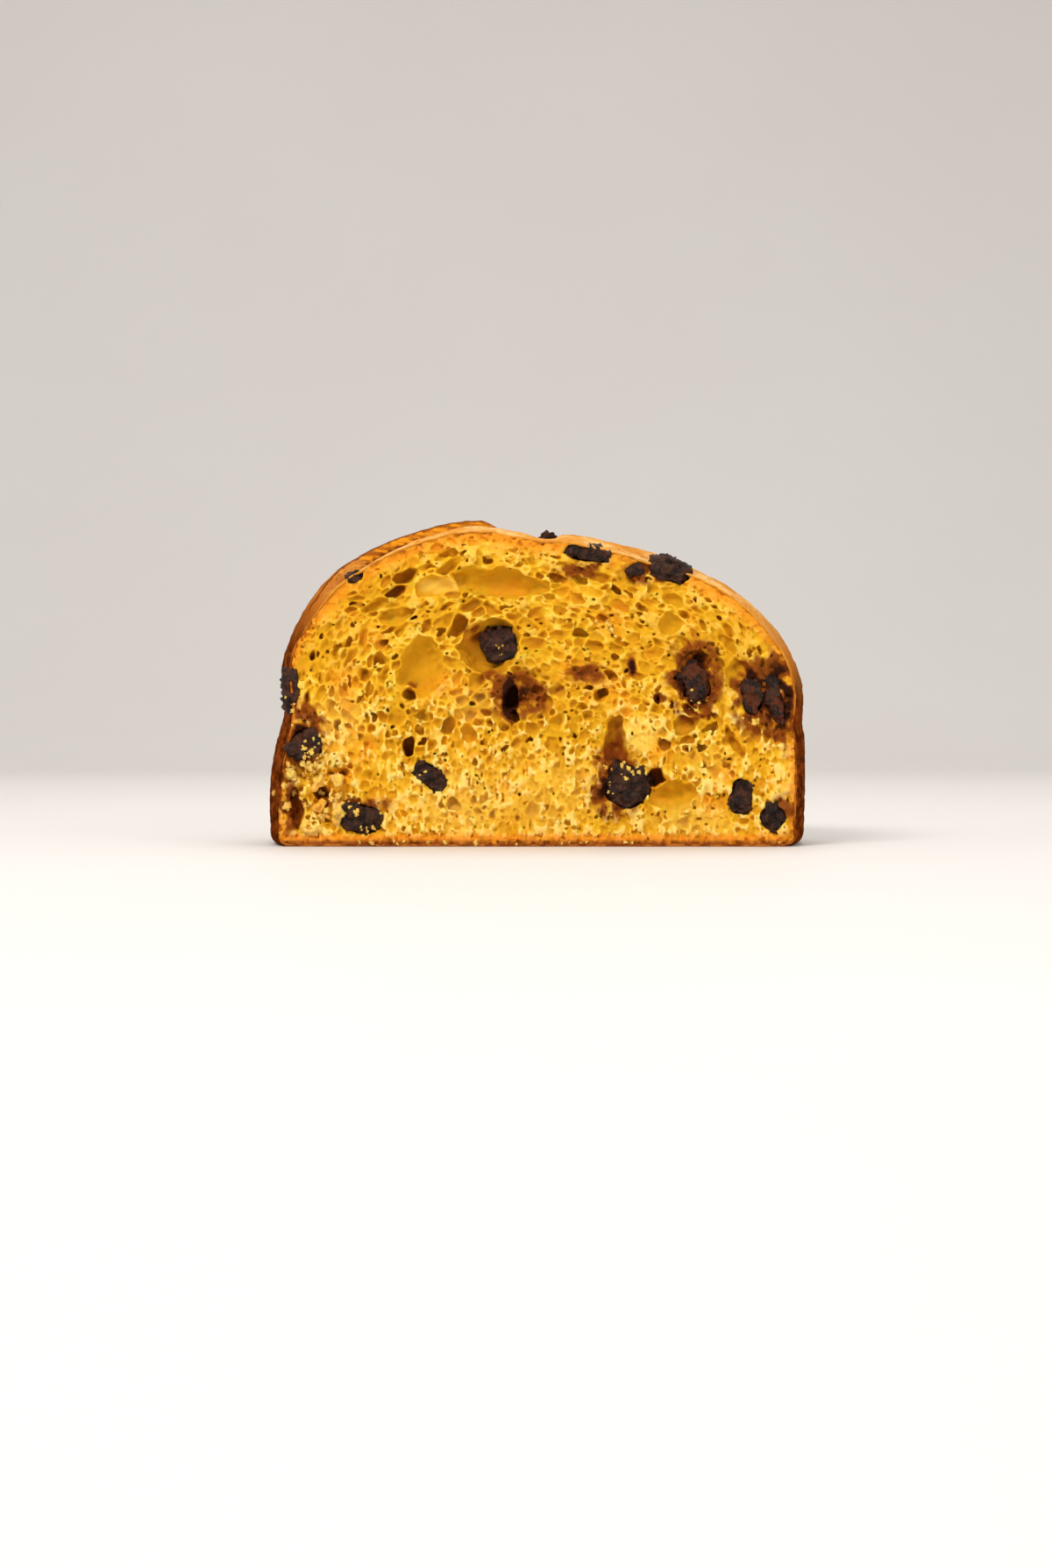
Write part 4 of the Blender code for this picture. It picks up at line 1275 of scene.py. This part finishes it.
def chocolate_piece(name, number, material):
    """A craggy piece of chocolate over its own solid."""
    piece = new_object("craggy_" + name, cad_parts[name].data.copy())
    mesh = remeshed(piece, CHOCOLATE_MESH)
    mesh.name = name
    shift = Vector([number * step for step in NOISE_STEPS])
    thick = min(*(high - low for low, high in zip(*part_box(name))), CHOCOLATE_THICK)
    normals = [v.normal.copy() for v in mesh.vertices]
    melted = np.zeros(len(mesh.vertices))
    for i, (vertex, normal) in enumerate(zip(mesh.vertices, normals)):
        place = vertex.co.copy()
        lump = noise.noise(place / (thick * CHOCOLATE_LUMP_PITCH) + shift) * thick * CHOCOLATE_LUMP
        tooth = 1 - 2 * abs(noise.noise(place / CHOCOLATE_TOOTH_PITCH + shift))
        bent = place / CHOCOLATE_BLOCK + shift + noise.noise_vector(place / CHOCOLATE_BLOCK) * CHOCOLATE_BEND
        (first, second, *_), _ = noise.voronoi(bent)
        groove = CHOCOLATE_GROOVE * (1 - smooth(0.0, GROOVE_SHARE, second - first))
        block = CHOCOLATE_STEP * (noise.cell(bent) - 0.5)
        grain = CHOCOLATE_GRAIN * noise.noise(place / CHOCOLATE_GRAIN_PITCH + shift)
        raised = lump + CHOCOLATE_TOOTH * (tooth - 0.5) - groove + block + grain
        vertex.co = place + normal * (raised + CHOCOLATE_SWELL)
        melted[i] = smooth(0.0, MELT_DEPTH, raised) * MELTED.get(name, USUALLY_MELTED)
    set_attribute(mesh, "melted", melted)
    mesh.shade_smooth()
    dress(new_object("dark_" + name, mesh), material, "dark_chocolate", name)


def crumb_lump(shape, place, size, shift):
    """Adds one craggy crumb of about that size to a bmesh."""
    longer = noise.noise_vector(shift * 0.37).normalized()
    for vertex in bmesh.ops.create_icosphere(shape, subdivisions=3, radius=size / 2)["verts"]:
        direction = vertex.co.normalized()
        lump = noise.noise(direction * CRUMB_LUMPS[0] + shift) * CRUMB_LUMPS[1]
        crag = (0.5 - abs(noise.noise(direction * CRUMB_CRAGS[0] + shift))) * CRUMB_CRAGS[1]
        stretch = longer * direction.dot(longer) * size * CRUMB_STRETCH
        vertex.co = place + vertex.co * max(LEAST_CRUMB, CRUMB_BODY + (lump + crag)) + stretch


def loose_crumbs(material):
    """Crumbs that cling to the cut face, set down on whatever the knife left there."""
    bpy.context.view_layer.update()
    graph = bpy.context.evaluated_depsgraph_get()
    random = np.random.default_rng(SEED)
    shape = bmesh.new()
    for across, up, wide, high, count, size in LOOSE_CRUMBS:
        draws = random.normal(across, wide, count), random.normal(up, high, count), random.random(count)
        for x, z, vary in zip(*draws):
            start = (x, CUT_Y - RAY_START, z)
            hit, place, *_ = bpy.context.scene.ray_cast(graph, start, (0, 1, 0), distance=RAY_LENGTH)
            if hit:
                lump = size * (0.5 + vary)
                forward = Vector((0, lump * CRUMB_FORWARD, 0))
                crumb_lump(shape, place - forward, lump, place * CRUMB_VARIETY)
    dress(new_object("loose_crumbs", made_mesh(shape, "loose_crumbs")), material, "baked_crust")


def make_floor(material):
    """A pale floor that curves up into a backdrop."""
    shape = bmesh.new()
    rows = [(FLOOR_FRONT, 0.0), (FLOOR_BACK, 0.0)]
    for i in range(1, CURVE_STEPS + 1):
        angle = math.pi / 2 * i / CURVE_STEPS
        rows.append((FLOOR_BACK + BACKDROP_CURVE * math.sin(angle), BACKDROP_CURVE * (1 - math.cos(angle))))
    rows.append((FLOOR_BACK + BACKDROP_CURVE, BACKDROP_HEIGHT))
    lines = [[shape.verts.new((x, y, z)) for x in (-FLOOR_HALF_WIDTH, FLOOR_HALF_WIDTH)] for y, z in rows]
    for a, b in zip(lines, lines[1:]):
        shape.faces.new((a[0], a[1], b[1], b[0]))
    mesh = made_mesh(shape, "floor")
    mesh.materials.append(material)
    new_object("floor", mesh)


def make_camera():
    data = bpy.data.cameras.new("camera")
    data.sensor_width = CAMERA_SENSOR
    data.lens = CAMERA_LENS
    data.clip_start, data.clip_end = CAMERA_CLIP
    camera = new_object("camera", data)
    camera.location = (CAMERA_ACROSS, CUT_Y - CAMERA_DISTANCE, CAMERA_HEIGHT)
    camera.rotation_euler = (math.pi / 2 - CAMERA_TILT, 0, CAMERA_TURN)
    bpy.context.scene.camera = camera


def make_lights():
    """Soft area lights round the loaf, and an even world."""
    for name, (place, size, power, colour) in LIGHTS.items():
        data = bpy.data.lights.new(name, "AREA")
        data.shape = "RECTANGLE"
        data.size, data.size_y = size
        data.energy = power
        data.color = colour
        light = new_object(name, data)
        light.location = place
        light.rotation_euler = (Vector(LIGHTS_AIM) - Vector(place)).to_track_quat("-Z", "Y").to_euler()
    world = bpy.data.worlds.new("studio")
    world.use_nodes = True
    background = world.node_tree.nodes["Background"]
    background.inputs["Color"].default_value = WORLD_COLOUR
    background.inputs["Strength"].default_value = WORLD_STRENGTH
    bpy.context.scene.world = world
    bpy.context.scene.view_settings.view_transform = "Standard"
    bpy.context.scene.view_settings.look = "None"


def main():
    # Without a seed of its own, noise_vector gives other values in each run
    noise.seed_set(SEED)
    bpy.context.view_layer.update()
    make_camera()
    make_lights()
    make_floor(floor_material())
    whole = whole_crust()
    crumb = Crumb(whole)
    crumb.blow_named()
    crumb.blow_cells()
    crumb_pieces(crumb, crumb_material())
    dress(crust_piece(whole), crust_material(), "baked_crust", "loaf")
    dark = chocolate_material()
    for number, name in enumerate(sorted(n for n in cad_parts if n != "loaf")):
        chocolate_piece(name, number, dark)
    loose_crumbs(crumbs_material())


main()
